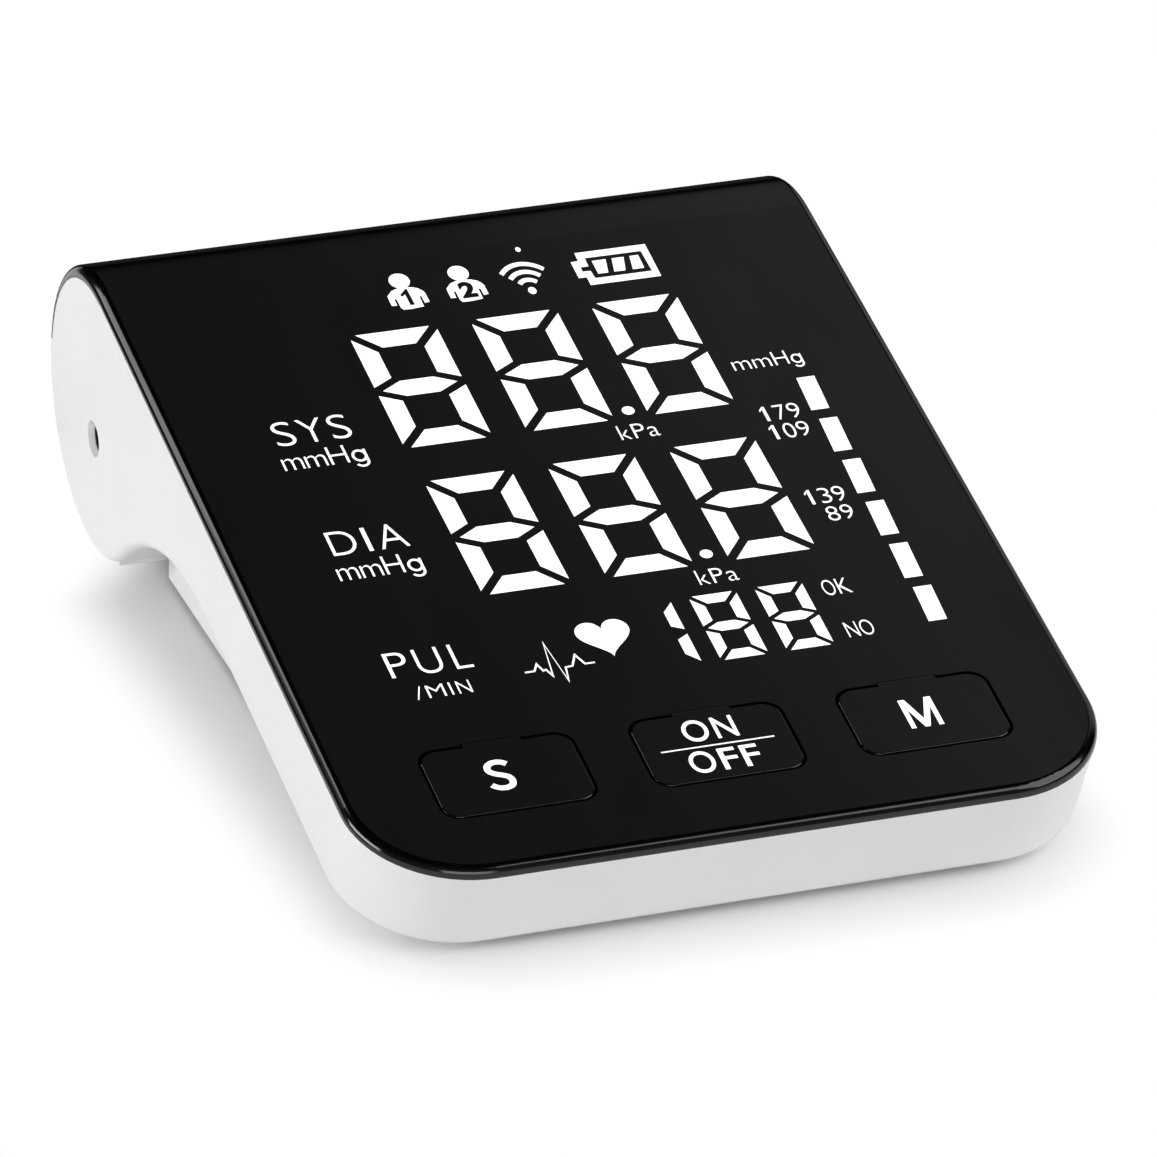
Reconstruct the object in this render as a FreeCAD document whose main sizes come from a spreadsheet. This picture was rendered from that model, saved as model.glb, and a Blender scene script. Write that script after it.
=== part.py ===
"""Digital blood pressure monitor: a sloped slab with a round barrel along its back.

The panel frame has x across the case, s up the slope from the front edge, and n square to the
panel, zero at the underside of the cover.  The ground frame is x, y, z with z up.
"""
import FreeCAD, Part
import math
import os

import Sketcher

SIZES = {
    # outer form
    "case_width": 100.0,
    "panel_length": 121.3,
    "slab_wall": 13.2,
    "front_lean": 2.7,
    "barrel_radius": 20.0,
    "cover_thickness": 1.5,
    "cover_wrap_angle": 94.0,
    "cover_edge_radius": 1.3,
    "corner_radius": 15.5,
    "blend_radius": 45.0,
    "case_wall": 2.0,
    "bottom_edge_radius": 1.5,
    "ground_gap": 0.8,
    "curved_gap": 0.1,
    "seat_turn_angle": 9.0,
    "overrun": 1.0,
    # locating ribs and posts of the front panel
    "rib_height": 1.6,
    "rib_thickness": 1.2,
    "rib_gap": 0.15,
    "rib_end_gap": 5.0,
    "post_radius": 2.4,
    "post_side_gap": 6.5,
    "post_front": 30.0,
    "post_back_gap": 10.0,
    # bottom cover
    "skirt_inset": 7.2,
    "base_front": 11.2,
    "base_plate": 2.0,
    "base_wall": 1.8,
    "base_gap": 0.2,
    "base_lip": 1.2,
    "rear_cut_width": 4.2,
    "rear_cut_depth": 11.0,
    # case screws, bosses and feet
    "boss_radius": 2.8,
    "boss_height": 3.6,
    "boss_web": 1.6,
    "boss_clear": 0.05,
    "front_boss_side": 22.0,
    "front_boss_back": 6.0,
    "rear_boss_side": 13.0,
    "rear_boss_forward": 9.0,
    "screw_radius": 1.1,
    "screw_length": 3.2,
    "screw_head_radius": 2.1,
    "screw_head_height": 1.0,
    "screw_clear": 0.3,
    "foot_radius": 4.0,
    "foot_height": 1.4,
    "foot_clear": 0.1,
    "foot_side_gap": 19.0,
    "foot_front": 24.0,
    "foot_back_gap": 14.0,
    # keys and switches
    "key_width": 20.0,
    "key_depth": 12.7,
    "key_radius": 2.3,
    "key_gap": 0.4,
    "key_pitch_share": 0.278,
    "key_front": 10.3,
    "key_bridge": 7.7,
    "key_edge_radius": 0.2,
    "hinge_clear": 0.05,
    "hinge_side_clear": 0.15,
    "nub_radius": 1.2,
    "nub_gap": 0.1,
    "switch_side": 6.0,
    "switch_height": 2.2,
    "plunger_radius": 1.6,
    "plunger_clear": 0.05,
    "plunger_rise": 0.8,
    "plunger_depth": 0.9,
    "plunger_room": 0.5,
    # main board and what stands on it
    "board_drop": 4.4,
    "board_thickness": 1.6,
    "board_front": 6.0,
    "board_side_gap": 4.0,
    "board_back": 3.0,
    "board_corner_radius": 9.0,
    "board_screw_radius": 0.75,
    "board_screw_grip": 3.0,
    "board_screw_head_radius": 1.9,
    "board_screw_head_height": 1.2,
    "board_hole_clear": 0.35,
    "thread_clear": 0.05,
    "chip_side": 10.0,
    "chip_height": 1.2,
    "chip_place": 34.0,
    "buzzer_radius": 5.0,
    "buzzer_height": 2.4,
    "buzzer_hole_radius": 0.9,
    "buzzer_edge_gap": 10.0,
    "buzzer_place": 40.0,
    "sensor_side": 7.0,
    "sensor_height": 3.2,
    # display
    "display_left_share": 0.23,
    "display_post_gap": 0.6,
    "display_front": 29.0,
    "display_back": 119.5,
    "diffuser_thickness": 0.4,
    "digit_left_share": -0.204,
    "digit_width_share": 0.12,
    "digit_height": 24.0,
    "digit_pitch_share": 0.1685,
    "systolic_base": 81.8,
    "diastolic_base": 50.7,
    "side_stroke": 2.8,
    "level_stroke": 3.3,
    "stroke_gap": 0.9,
    "pulse_left_share": -0.032,
    "pulse_width_share": 0.064,
    "pulse_height": 12.8,
    "pulse_pitch_share": 0.0895,
    "pulse_base": 31.9,
    "pulse_side_stroke": 1.5,
    "pulse_level_stroke": 1.8,
    "pulse_gap": 0.5,
    "bar_edge_gap": 3.7,
    "bar_width": 2.5,
    "bar_height": 6.9,
    "bar_pitch": 8.9,
    "bar_base": 33.8,
    "bar_lean": 0.35,
    "well_grow": 0.05,
    "die_length": 1.2,
    "die_width": 0.8,
    "die_height": 0.5,
    # air line
    "socket_drop": 3.1,
    "socket_forward": 1.1,
    "port_radius": 2.5,
    "port_bore_radius": 2.0,
    "port_bore_depth": 7.0,
    "socket_flange_radius": 5.0,
    "socket_flange": 1.5,
    "socket_body_radius": 3.4,
    "socket_end": 1.2,
    "barb_radius": 1.2,
    "barb_length": 3.2,
    "sensor_barb_share": 0.37,
    "duct_radius": 0.6,
    "tube_radius": 2.2,
    "tube_clear": 0.05,
    "tube_end_gap": 0.1,
    "hub_radius": 3.0,
    "hub_room_radius": 1.5,
    "valve_width": 11.0,
    "valve_depth": 18.0,
    "valve_height": 11.0,
    "valve_edge_radius": 1.0,
    "valve_gap": 1.0,
    "valve_place_share": 0.52083,
    "pump_clear": 2.0,
    "pump_head_share": 0.17,
    "pump_ring": 1.4,
    "pump_ring_step": 0.5,
    "motor_step": 0.6,
    "motor_share": 0.24,
    "motor_edge_radius": 1.5,
    "motor_boss_radius": 3.0,
    "motor_boss": 1.5,
    "sleeve_thickness": 1.6,
    "sleeve_width": 6.0,
    "sleeve_clear": 0.05,
    "sleeve_inset": 4.0,
    "saddle_width": 4.0,
    "saddle_side": 3.0,
    # battery bay, cells, contacts and door
    "cell_radius": 5.25,
    "cell_length": 44.5,
    "cell_tip_radius": 1.9,
    "cell_tip": 1.0,
    "cell_bevel": 0.5,
    "cell_pitch": 11.1,
    "cell_clear": 0.3,
    "leaf_depth": 4.0,
    "leaf_thickness": 0.4,
    "contact_width": 7.0,
    "contact_height": 8.0,
    "plate_thickness": 0.6,
    "contact_gap": 0.1,
    "bay_front": 50.0,
    "bay_clear": 0.6,
    "bay_wall": 2.0,
    "bay_ledge": 1.0,
    "bay_roof": 1.4,
    "door_thickness": 1.6,
    "door_gap": 0.25,
    "door_edge_radius": 0.3,
    "door_lift": 0.1,
    "tab_width": 2.4,
    "tab_thickness": 1.0,
    "tab_reach": 1.5,
    "tab_room": 3.0,
    "tab_side_clear": 0.3,
    "latch_width": 10.0,
    "latch_length": 8.0,
    "latch_slit": 0.8,
    "nail_radius": 6.0,
    "nail_depth": 1.0,
    # power inlet
    "inlet_width": 9.0,
    "inlet_height": 3.2,
    "inlet_depth": 7.4,
    "inlet_skin": 0.35,
    "inlet_clear": 0.25,
    "inlet_tongue_width": 6.6,
    "inlet_tongue": 0.7,
    "inlet_back": 1.2,
    "inlet_board": 1.2,
    "inlet_board_width": 14.0,
    "inlet_board_length": 13.0,
    "inlet_post_width": 5.0,
}

KEY_COLUMNS = {"setting": -1, "power": 0, "memory": 1}
CELL_COUNT = 4
BAR_COUNT = 6
DIGIT_COUNT = 3
FRONT_BOSSES = 2

doc = FreeCAD.newDocument("pressure_monitor")
sheet = doc.addObject("Spreadsheet::Sheet", "Sizes")
worked_sheet = doc.addObject("Spreadsheet::Sheet", "Worked")
PIECES = {}


class Size:
    """A value together with the expression that gives it from the sheets."""

    def __init__(self, value, text):
        self.value = float(value)
        self.text = text

    def __float__(self):
        return self.value

    def __add__(self, other):
        return Size(self.value + float(other), f"({self.text} + {text_of(other)})")

    def __radd__(self, other):
        return Size(float(other) + self.value, f"({text_of(other)} + {self.text})")

    def __sub__(self, other):
        return Size(self.value - float(other), f"({self.text} - {text_of(other)})")

    def __rsub__(self, other):
        return Size(float(other) - self.value, f"({text_of(other)} - {self.text})")

    def __mul__(self, other):
        return Size(self.value * float(other), f"({self.text} * {text_of(other)})")

    def __rmul__(self, other):
        return Size(float(other) * self.value, f"({text_of(other)} * {self.text})")

    def __truediv__(self, other):
        return Size(self.value / float(other), f"({self.text} / {text_of(other)})")

    def __neg__(self):
        return Size(-self.value, f"(0 - {self.text})")


def text_of(item):
    """Gives the expression of a size, or a plain number as text."""
    return item.text if isinstance(item, Size) else repr(float(item))


def sine(angle):
    """Sine of an angle in degrees."""
    return Size(math.sin(math.radians(float(angle))), f"sin({text_of(angle)})")


def cosine(angle):
    """Cosine of an angle in degrees."""
    return Size(math.cos(math.radians(float(angle))), f"cos({text_of(angle)})")


def root(size):
    """Square root of a size."""
    return Size(math.sqrt(float(size)), f"sqrt({text_of(size)})")


def slope_of(reach, drop, radius):
    """Tilt, in degrees, at which reach * sine + drop * cosine equals the radius."""
    span = root(reach * reach + drop * drop)
    value = math.degrees(math.asin(float(radius) / float(span)) - math.atan2(float(drop), float(reach)))
    return Size(value, f"(asin({text_of(radius / span)}) - atan2({text_of(drop)}; {text_of(reach)})) / 1 deg")


def fill_sheet():
    """Writes the driving sizes as plain numbers with aliases and returns them by name."""
    found = {}
    for row, (name, value) in enumerate(SIZES.items(), start=1):
        sheet.set(f"A{row}", name)
        sheet.set(f"B{row}", str(value))
        sheet.setAlias(f"B{row}", name)
        found[name] = Size(value, f"Sizes.{name}")
    doc.recompute()
    return found


def worked(name, size):
    """Keeps a derived value in its own sheet under an alias."""
    row = len(WORKED_NAMES) + 1
    WORKED_NAMES.append(name)
    worked_sheet.set(f"A{row}", name)
    worked_sheet.set(f"B{row}", f"={size.text}")
    worked_sheet.setAlias(f"B{row}", name)
    doc.recompute()
    return Size(size.value, f"Worked.{name}")


WORKED_NAMES = []
D = type("Driving", (), fill_sheet())

# The slope stands the front edge and the barrel on the same ground line.
half_width = worked("half_width", D.case_width / 2)
inner_half = worked("inner_half", half_width - D.case_wall)
inner_barrel = worked("inner_barrel", D.barrel_radius - D.cover_thickness)
seat_radius = worked("seat_radius", inner_barrel - D.curved_gap)
front_reach = worked("front_reach", D.panel_length - D.front_lean)
slope = worked("slope", slope_of(front_reach, D.slab_wall - inner_barrel, D.barrel_radius))
rise = worked("rise", sine(slope))
run = worked("run", cosine(slope))
axis_depth = worked("axis_depth", D.panel_length * run + inner_barrel * rise)
front_y = worked("front_y", -(axis_depth + D.barrel_radius) / 2)
axis_y = worked("axis_y", front_y + axis_depth)
axis_z = worked("axis_z", D.ground_gap + D.barrel_radius)
front_z = worked("front_z", axis_z + inner_barrel * run - D.panel_length * rise)


def on_panel(s, n):
    """Ground y and z of a point in the panel frame."""
    y = front_y + s * run - n * rise
    z = front_z + s * rise + n * run
    return y, z


# Where the concave blend under the slab starts and meets the barrel.
blend_drop = worked("blend_drop", D.blend_radius + D.slab_wall - inner_barrel)
blend_span = worked("blend_span", D.blend_radius + D.barrel_radius)
blend_reach = worked("blend_reach", root(blend_span * blend_span - blend_drop * blend_drop))
blend_start = worked("blend_start", D.panel_length - blend_reach)
socket_y = worked("socket_y", axis_y - D.socket_forward)
socket_z = worked("socket_z", axis_z - D.socket_drop)
base_top = worked("base_top", D.ground_gap + D.base_plate)
base_half = worked("base_half", half_width - D.skirt_inset - D.base_gap)
board_low = worked("board_low", -(D.board_drop + D.board_thickness))
key_back = worked("key_back", D.key_front + D.key_depth)
hinge_s = worked("hinge_s", key_back + D.key_gap)
nub_s = worked("nub_s", D.key_front + D.key_depth / 2)
bay_half = worked("bay_half", D.cell_pitch * (CELL_COUNT - 1) / 2 + D.cell_radius + D.bay_clear)
bay_length = worked("bay_length", D.cell_length + D.leaf_depth + D.plate_thickness + D.contact_gap * 2)
bay_y = worked("bay_y", front_y + D.bay_front + D.bay_wall)
cell_z = worked("cell_z", D.ground_gap + D.door_thickness + D.door_lift + D.cell_clear + D.cell_radius)
bay_top = worked("bay_top", cell_z + D.cell_radius + D.cell_clear)
valve_x = worked("valve_x", -inner_half * D.valve_place_share)
bay_shift = worked("bay_shift", valve_x + D.valve_width / 2 + D.valve_gap + D.bay_wall + bay_half)
key_pitch = worked("key_pitch", D.case_width * D.key_pitch_share)
post_spread = worked("post_spread", inner_half - D.post_side_gap)
board_half = worked("board_half", inner_half - D.board_side_gap)
display_left = worked("display_left", D.case_width * D.display_left_share)
display_right = worked("display_right", post_spread - D.post_radius - D.display_post_gap)
line_offset = worked("line_offset", root(D.socket_drop * D.socket_drop + D.socket_forward * D.socket_forward))
pump_room = worked("pump_room", D.barrel_radius - D.case_wall - line_offset)
pump_head_radius = worked("pump_head_radius", pump_room - D.sleeve_thickness - D.pump_clear)
pump_head_length = worked("pump_head_length", D.case_width * D.pump_head_share)
motor_radius = worked("motor_radius", pump_head_radius - D.motor_step)
motor_length = worked("motor_length", D.case_width * D.motor_share)


def vector(u, v, w=0.0):
    """A plain vector from sizes."""
    return FreeCAD.Vector(float(u), float(v), float(w))


def bind(obj, prop, size):
    """Ties a property to its size."""
    obj.setExpression(prop, text_of(size))


def put(obj, x, y, z, axis=None, angle=None):
    """Ties an object's place, and its turn about an axis, to sizes."""
    turn = FreeCAD.Rotation() if axis is None else FreeCAD.Rotation(vector(*axis), float(angle))
    obj.Placement = FreeCAD.Placement(vector(x, y, z), turn)
    for name, size in (("x", x), ("y", y), ("z", z)):
        bind(obj, f"Placement.Base.{name}", size)
    if axis is not None and isinstance(angle, Size):
        bind(obj, "Placement.Rotation.Angle", angle)


def keep(obj, label):
    """Registers a finished sub-part under its node name."""
    obj.Label = label
    PIECES[label] = obj
    return obj


def arc_between(start, end, radius, side):
    """Round edge of under half a turn from start to end, turning left or right."""
    a = vector(*start)
    b = vector(*end)
    chord = b - a
    half = chord.Length / 2
    across = FreeCAD.Vector(-chord.y, chord.x, 0) / chord.Length
    reach = math.sqrt(max(float(radius) ** 2 - half ** 2, 0.0))
    sign = 1 if side == "left" else -1
    centre = (a + b) / 2 + across * (reach * sign)
    first, last = (a, b) if side == "left" else (b, a)
    from_angle = math.atan2(first.y - centre.y, first.x - centre.x)
    to_angle = math.atan2(last.y - centre.y, last.x - centre.x)
    if to_angle < from_angle:
        to_angle += 2 * math.pi
    circle = Part.Circle(centre, FreeCAD.Vector(0, 0, 1), float(radius))
    return Part.ArcOfCircle(circle, from_angle, to_angle)


def draw(sketch, outline):
    """Draws one closed outline and fixes each corner and radius to its size.

    A corner is (u, v), or (u, v, side, radius) where a round edge leaves it.
    """
    base = sketch.GeometryCount
    count = len(outline)
    ends = []
    for index, corner in enumerate(outline):
        following = outline[(index + 1) % count]
        if len(corner) == 2:
            sketch.addGeometry(Part.LineSegment(vector(*corner[:2]), vector(*following[:2])))
            ends.append((1, 2))
        else:
            side, radius = corner[2:]
            sketch.addGeometry(arc_between(corner[:2], following[:2], radius, side))
            ends.append((1, 2) if side == "left" else (2, 1))
    for index, corner in enumerate(outline):
        after = (index + 1) % count
        edge = base + index
        sketch.addConstraint(
            Sketcher.Constraint("Coincident", edge, ends[index][1], base + after, ends[after][0])
        )
        for kind, size in zip(("DistanceX", "DistanceY"), corner[:2]):
            fix(sketch, Sketcher.Constraint(kind, -1, 1, edge, ends[index][0], float(size)), size)
        if len(corner) == 4:
            fix(sketch, Sketcher.Constraint("Radius", edge, float(corner[3])), corner[3])


def fix(sketch, constraint, size):
    """Adds a dimension and ties it to its size."""
    number = sketch.addConstraint(constraint)
    if isinstance(size, Size):
        bind(sketch, f"Constraints[{number}]", size)


def ring(sketch, u, v, radius):
    """Draws one full circle."""
    number = sketch.addGeometry(Part.Circle(vector(u, v), FreeCAD.Vector(0, 0, 1), float(radius)))
    fix(sketch, Sketcher.Constraint("DistanceX", -1, 1, number, 3, float(u)), u)
    fix(sketch, Sketcher.Constraint("DistanceY", -1, 1, number, 3, float(v)), v)
    fix(sketch, Sketcher.Constraint("Radius", number, float(radius)), radius)


def rectangle(u0, v0, u1, v1):
    """Corners of a plain rectangle."""
    return [(u0, v0), (u1, v0), (u1, v1), (u0, v1)]


def rounded(u0, v0, u1, v1, radius):
    """Corners of a rectangle with round corners."""
    return [
        (u0 + radius, v0),
        (u1 - radius, v0, "left", radius),
        (u1, v0 + radius),
        (u1, v1 - radius, "left", radius),
        (u1 - radius, v1),
        (u0 + radius, v1, "left", radius),
        (u0, v1 - radius),
        (u0, v0 + radius, "left", radius),
    ]


def new_body(name):
    """An empty body."""
    return doc.addObject("PartDesign::Body", name)


def new_sketch(body, role, name, outlines=(), circles=(), height=None):
    """A sketch on one of the body's origin planes, lifted along its normal by height."""
    sketch = body.newObject("Sketcher::SketchObject", f"{body.Name}_{name}")
    plane = [item for item in body.Origin.OriginFeatures if item.Role == role][0]
    sketch.AttachmentSupport = [(plane, "")]
    sketch.MapMode = "FlatFace"
    if height is not None:
        sketch.AttachmentOffset = FreeCAD.Placement(vector(0, 0, height), FreeCAD.Rotation())
        bind(sketch, "AttachmentOffset.Base.z", height)
    for outline in outlines:
        draw(sketch, outline)
    for circle in circles:
        ring(sketch, *circle)
    return sketch


def extrude(body, kind, sketch, length, symmetric=False, reverse=False):
    """Pads or pockets a sketch by a length and checks that it changed the body."""
    before = body.Shape.Volume if body.Tip else 0.0
    feature = body.newObject(f"PartDesign::{kind}", f"{sketch.Name}_{kind}")
    feature.Profile = sketch
    feature.SideType = "Symmetric" if symmetric else "One side"
    feature.Reversed = reverse
    feature.Length = float(length)
    bind(feature, "Length", length)
    doc.recompute()
    grown = body.Shape.Volume - before
    if (grown <= 0) if kind == "Pad" else (grown >= 0):
        raise ValueError(f"{feature.Name} changed nothing")
    return feature


def round_edges(body, name, radius, wanted):
    """Fillets the edges of a body that the test picks."""
    tip = body.Tip
    edges = [f"Edge{number}" for number, edge in enumerate(tip.Shape.Edges, start=1) if wanted(edge)]
    if not edges:
        raise ValueError(f"{name} has no edge to round")
    feature = body.newObject("PartDesign::Fillet", f"{body.Name}_{name}")
    feature.Base = (tip, edges)
    feature.Radius = float(radius)
    bind(feature, "Radius", radius)
    doc.recompute()
    return feature


def tilt(obj):
    """Sets an object that is drawn in the panel frame on the slope."""
    put(obj, 0.0, front_y, front_z, (1, 0, 0), slope)


def block(name, x, s, n, width, depth, height, tilted=True):
    """A box from its lowest corner, in the panel frame or in the ground frame."""
    item = doc.addObject("Part::Box", name)
    for prop, size in (("Length", width), ("Width", depth), ("Height", height)):
        setattr(item, prop, float(size))
        bind(item, prop, size)
    if tilted:
        put(item, x, *on_panel(s, n), (1, 0, 0), slope)
    else:
        put(item, x, s, n)
    return item


def rod(name, x, s, n, radius, length, along="n"):
    """A round bar from a point along n, given in the panel frame, or along the ground's x, y or z."""
    item = doc.addObject("Part::Cylinder", name)
    for prop, size in (("Radius", radius), ("Height", length)):
        setattr(item, prop, float(size))
        bind(item, prop, size)
    if along == "n":
        put(item, x, *on_panel(s, n), (1, 0, 0), slope)
    elif along == "x":
        put(item, x, s, n, (0, 1, 0), 90)
    elif along == "y":
        put(item, x, s, n, (1, 0, 0), -90)
    else:
        put(item, x, s, n)
    return item


def fuse(name, items):
    """Joins several objects."""
    result = doc.addObject("Part::MultiFuse", name)
    result.Shapes = items
    return result


def cut(name, base, items):
    """Takes several objects out of one."""
    tool = items[0] if len(items) == 1 else fuse(f"{name}_tools", items)
    result = doc.addObject("Part::Cut", name)
    result.Base = base
    result.Tool = tool
    return result


def group(name, items):
    """Keeps like pieces together as separate solids of one node."""
    result = doc.addObject("Part::Compound", name)
    result.Links = items
    return result


def around_barrel(radius, angle):
    """Point on a circle about the barrel axis, by its angle from the panel normal to the back."""
    return D.panel_length + radius * sine(angle), radius * cosine(angle) - inner_barrel


def blend_end(inset):
    """Point where the blend meets the barrel, on a surface set inside by inset."""
    share = (D.barrel_radius - inset) / blend_span
    return D.panel_length - blend_reach * share, -inner_barrel - blend_drop * share


def upright(edge):
    """True for a straight edge that stands on the panel, square to it or leaning back."""
    ends = [vertex.Point for vertex in edge.Vertexes]
    if len(ends) != 2 or edge.Curve.TypeId != "Part::GeomLine":
        return False
    step = ends[1] - ends[0]
    return abs(step.x) < Part.Precision.confusion() and abs(step.z) > abs(step.y)


def build_front_panel():
    """Glossy cover: a flat plate that wraps over the barrel, with three key openings."""
    body = new_body("front_panel_body")
    top = D.cover_thickness
    profile = [
        (0.0, 0.0),
        (D.panel_length, 0.0, "right", inner_barrel),
        around_barrel(inner_barrel, D.cover_wrap_angle),
        (*around_barrel(D.barrel_radius, D.cover_wrap_angle), "left", D.barrel_radius),
        (D.panel_length, top),
        (0.0, top),
    ]
    sketch = new_sketch(body, "YZ_Plane", "profile", [profile])
    extrude(body, "Pad", sketch, D.case_width, symmetric=True)
    depth = float(top)
    round_edges(body, "corners", D.corner_radius, lambda edge: upright(edge) and edge.BoundBox.YMax < depth)
    limit = float(top) - Part.Precision.confusion()
    side = float(half_width) - float(D.corner_radius) - Part.Precision.confusion()
    outer = float(D.barrel_radius) - Part.Precision.confusion()

    def on_rim(edge):
        """True for the outer upper edges: front, corners, sides and over the barrel."""
        middle = edge.valueAt((edge.FirstParameter + edge.LastParameter) / 2)
        ends = [vertex.Point for vertex in edge.Vertexes]
        reach = math.hypot(middle.y - float(D.panel_length), middle.z + float(inner_barrel))
        if middle.y > float(D.panel_length):
            across = abs(ends[0].x - ends[-1].x) > limit
            return reach > outer and not across and edge.Curve.TypeId != "Part::GeomLine"
        level = all(point.z > limit for point in ends)
        return level and (abs(middle.x) > side or middle.y < limit)

    round_edges(body, "rim", D.cover_edge_radius, on_rim)
    gap = D.key_gap
    openings = [
        rounded(
            key_pitch * column - D.key_width / 2 - gap,
            D.key_front - gap,
            key_pitch * column + D.key_width / 2 + gap,
            hinge_s,
            D.key_radius + gap,
        )
        for column in KEY_COLUMNS.values()
    ]
    sketch = new_sketch(body, "XY_Plane", "openings", openings, height=-D.overrun)
    extrude(body, "Pocket", sketch, top + D.overrun * 2, reverse=True)
    inner = inner_half - D.rib_gap
    ribs = [
        rectangle(inner - D.rib_thickness, D.corner_radius, inner, D.panel_length - D.rib_end_gap),
        rectangle(-inner, D.corner_radius, D.rib_thickness - inner, D.panel_length - D.rib_end_gap),
    ]
    sketch = new_sketch(body, "XY_Plane", "ribs", ribs)
    extrude(body, "Pad", sketch, D.rib_height, reverse=True)
    sketch = new_sketch(body, "XY_Plane", "posts", circles=[(x, s, D.post_radius) for x, s in post_places()])
    extrude(body, "Pad", sketch, D.board_drop, reverse=True)
    bore = D.board_screw_radius + D.thread_clear
    sketch = new_sketch(
        body, "XY_Plane", "bores", circles=[(x, s, bore) for x, s in post_places()], height=-D.board_drop
    )
    extrude(body, "Pocket", sketch, D.board_screw_grip + D.thread_clear, reverse=True)
    tilt(body)
    grooves = [
        rod(
            f"{name}_groove",
            key_pitch * column - D.key_bridge / 2 - D.hinge_side_clear,
            *on_panel(hinge_s, top / 2),
            top / 2 + D.hinge_clear,
            D.key_bridge + D.hinge_side_clear * 2,
            "x",
        )
        for name, column in KEY_COLUMNS.items()
    ]
    keep(cut("front_panel", body, grooves), "front_panel")


def post_places():
    """Places of the posts that carry the board, in the panel frame."""
    back = D.panel_length - D.post_back_gap
    return [(post_spread * side, s) for side in (-1, 1) for s in (D.post_front, back)]


def build_main_case():
    """White moulded case: slab walls, arched underside and the barrel shell."""
    body = new_body("main_case_body")
    start = blend_start
    outer = [
        (D.front_lean, -D.slab_wall),
        (start, -D.slab_wall, "right", D.blend_radius),
        (*blend_end(0.0), "left", D.barrel_radius),
        around_barrel(D.barrel_radius, D.cover_wrap_angle),
        (*around_barrel(seat_radius, D.cover_wrap_angle), "left", seat_radius),
        (D.panel_length, -D.curved_gap),
        (D.panel_length, 0.0),
        (0.0, 0.0),
    ]
    sketch = new_sketch(body, "YZ_Plane", "profile", [outer])
    extrude(body, "Pad", sketch, D.case_width, symmetric=True)
    depth = float(D.front_lean + D.case_wall)
    round_edges(body, "corners", D.corner_radius, lambda edge: upright(edge) and edge.BoundBox.YMax < depth)
    side = float(half_width) - float(D.corner_radius)
    tight = Part.Precision.confusion()
    wrap_n = float(around_barrel(D.barrel_radius, D.cover_wrap_angle)[1])

    def on_bottom_rim(edge):
        """True for the lower outer edges: front, corners, sides, blends and barrel ends."""
        middle = edge.valueAt((edge.FirstParameter + edge.LastParameter) / 2)
        ends = [vertex.Point for vertex in edge.Vertexes]
        if abs(ends[0].x - ends[-1].x) > float(D.case_wall) and middle.y > float(D.corner_radius):
            return False
        below = all(point.z < tight - float(D.slab_wall) for point in ends) and middle.y < float(start)
        outside = abs(middle.x) > side + tight or middle.y < float(D.front_lean) + tight
        beyond = all(point.y > float(start) - tight and point.z < wrap_n + tight for point in ends)
        return (below and outside) or (beyond and edge.Curve.TypeId == "Part::GeomCircle")

    round_edges(body, "bottom_rim", D.bottom_edge_radius, on_bottom_rim)
    wall = D.case_wall
    turn = D.cover_wrap_angle + D.seat_turn_angle
    lean_share = D.front_lean / D.slab_wall
    cavity = [
        (wall + lean_share * (D.slab_wall - wall), wall - D.slab_wall),
        (start, wall - D.slab_wall, "right", D.blend_radius + wall),
        (*blend_end(wall), "left", D.barrel_radius - wall),
        around_barrel(D.barrel_radius - wall, turn),
        (*around_barrel(seat_radius - wall, turn), "left", seat_radius - wall),
        (D.panel_length, -D.curved_gap - wall),
        (D.panel_length, D.overrun),
        (wall - lean_share * D.overrun, D.overrun),
    ]
    hollow = new_body("main_case_hollow")
    sketch = new_sketch(hollow, "YZ_Plane", "cavity", [cavity])
    extrude(hollow, "Pad", sketch, inner_half * 2, symmetric=True)
    inner_radius = D.corner_radius - wall
    round_edges(
        hollow, "corners", inner_radius, lambda edge: upright(edge) and edge.BoundBox.YMax < depth
    )
    tilt(body)
    tilt(hollow)
    bosses = [
        rod(f"boss_{i}", x, y, base_top, D.boss_radius, D.boss_height, "z") for i, (x, y) in boss_places()
    ]
    wall_drop = (front_z - base_top) / (run - lean_share * rise)
    front_web_y = front_y + wall_drop * (lean_share * run + rise) + D.case_wall / 2
    webs = []
    for i, (x, y) in boss_places():
        if i < FRONT_BOSSES:
            place = (x - D.boss_web / 2, front_web_y, base_top)
            size = (D.boss_web, y - front_web_y, D.boss_height)
        else:
            reach = D.rear_boss_side - D.case_wall / 2
            left = x if float(x) > 0 else x - reach
            place = (left, y - D.boss_web / 2, base_top)
            size = (reach, D.boss_web, D.boss_height)
        webs.append(block(f"boss_web_{i}", *place, *size, tilted=False))
    opening = new_body("base_opening")
    half = half_width - D.skirt_inset
    plan = [
        (-half, front_y + D.base_front),
        (half, front_y + D.base_front),
        (half, axis_y - D.rear_cut_depth),
        (half - D.rear_cut_width, axis_y),
        (D.rear_cut_width - half, axis_y),
        (-half, axis_y - D.rear_cut_depth),
    ]
    sketch = new_sketch(opening, "XY_Plane", "plan", [plan])
    extrude(opening, "Pad", sketch, axis_z)
    bore = D.screw_radius + D.boss_clear
    bores = [rod(f"boss_bore_{i}", x, y, base_top, bore, D.screw_length, "z") for i, (x, y) in boss_places()]
    outside = half_width + D.overrun
    through = D.case_wall + D.overrun * 2
    port = rod("air_port", -outside, socket_y, socket_z, D.port_radius, through, "x")
    slot = inlet_slot()
    shell = cut("opened_case", body, [hollow, opening, port, slot])
    keep(cut("main_case", fuse("bossed_case", [shell] + bosses + webs), bores), "main_case")


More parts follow.
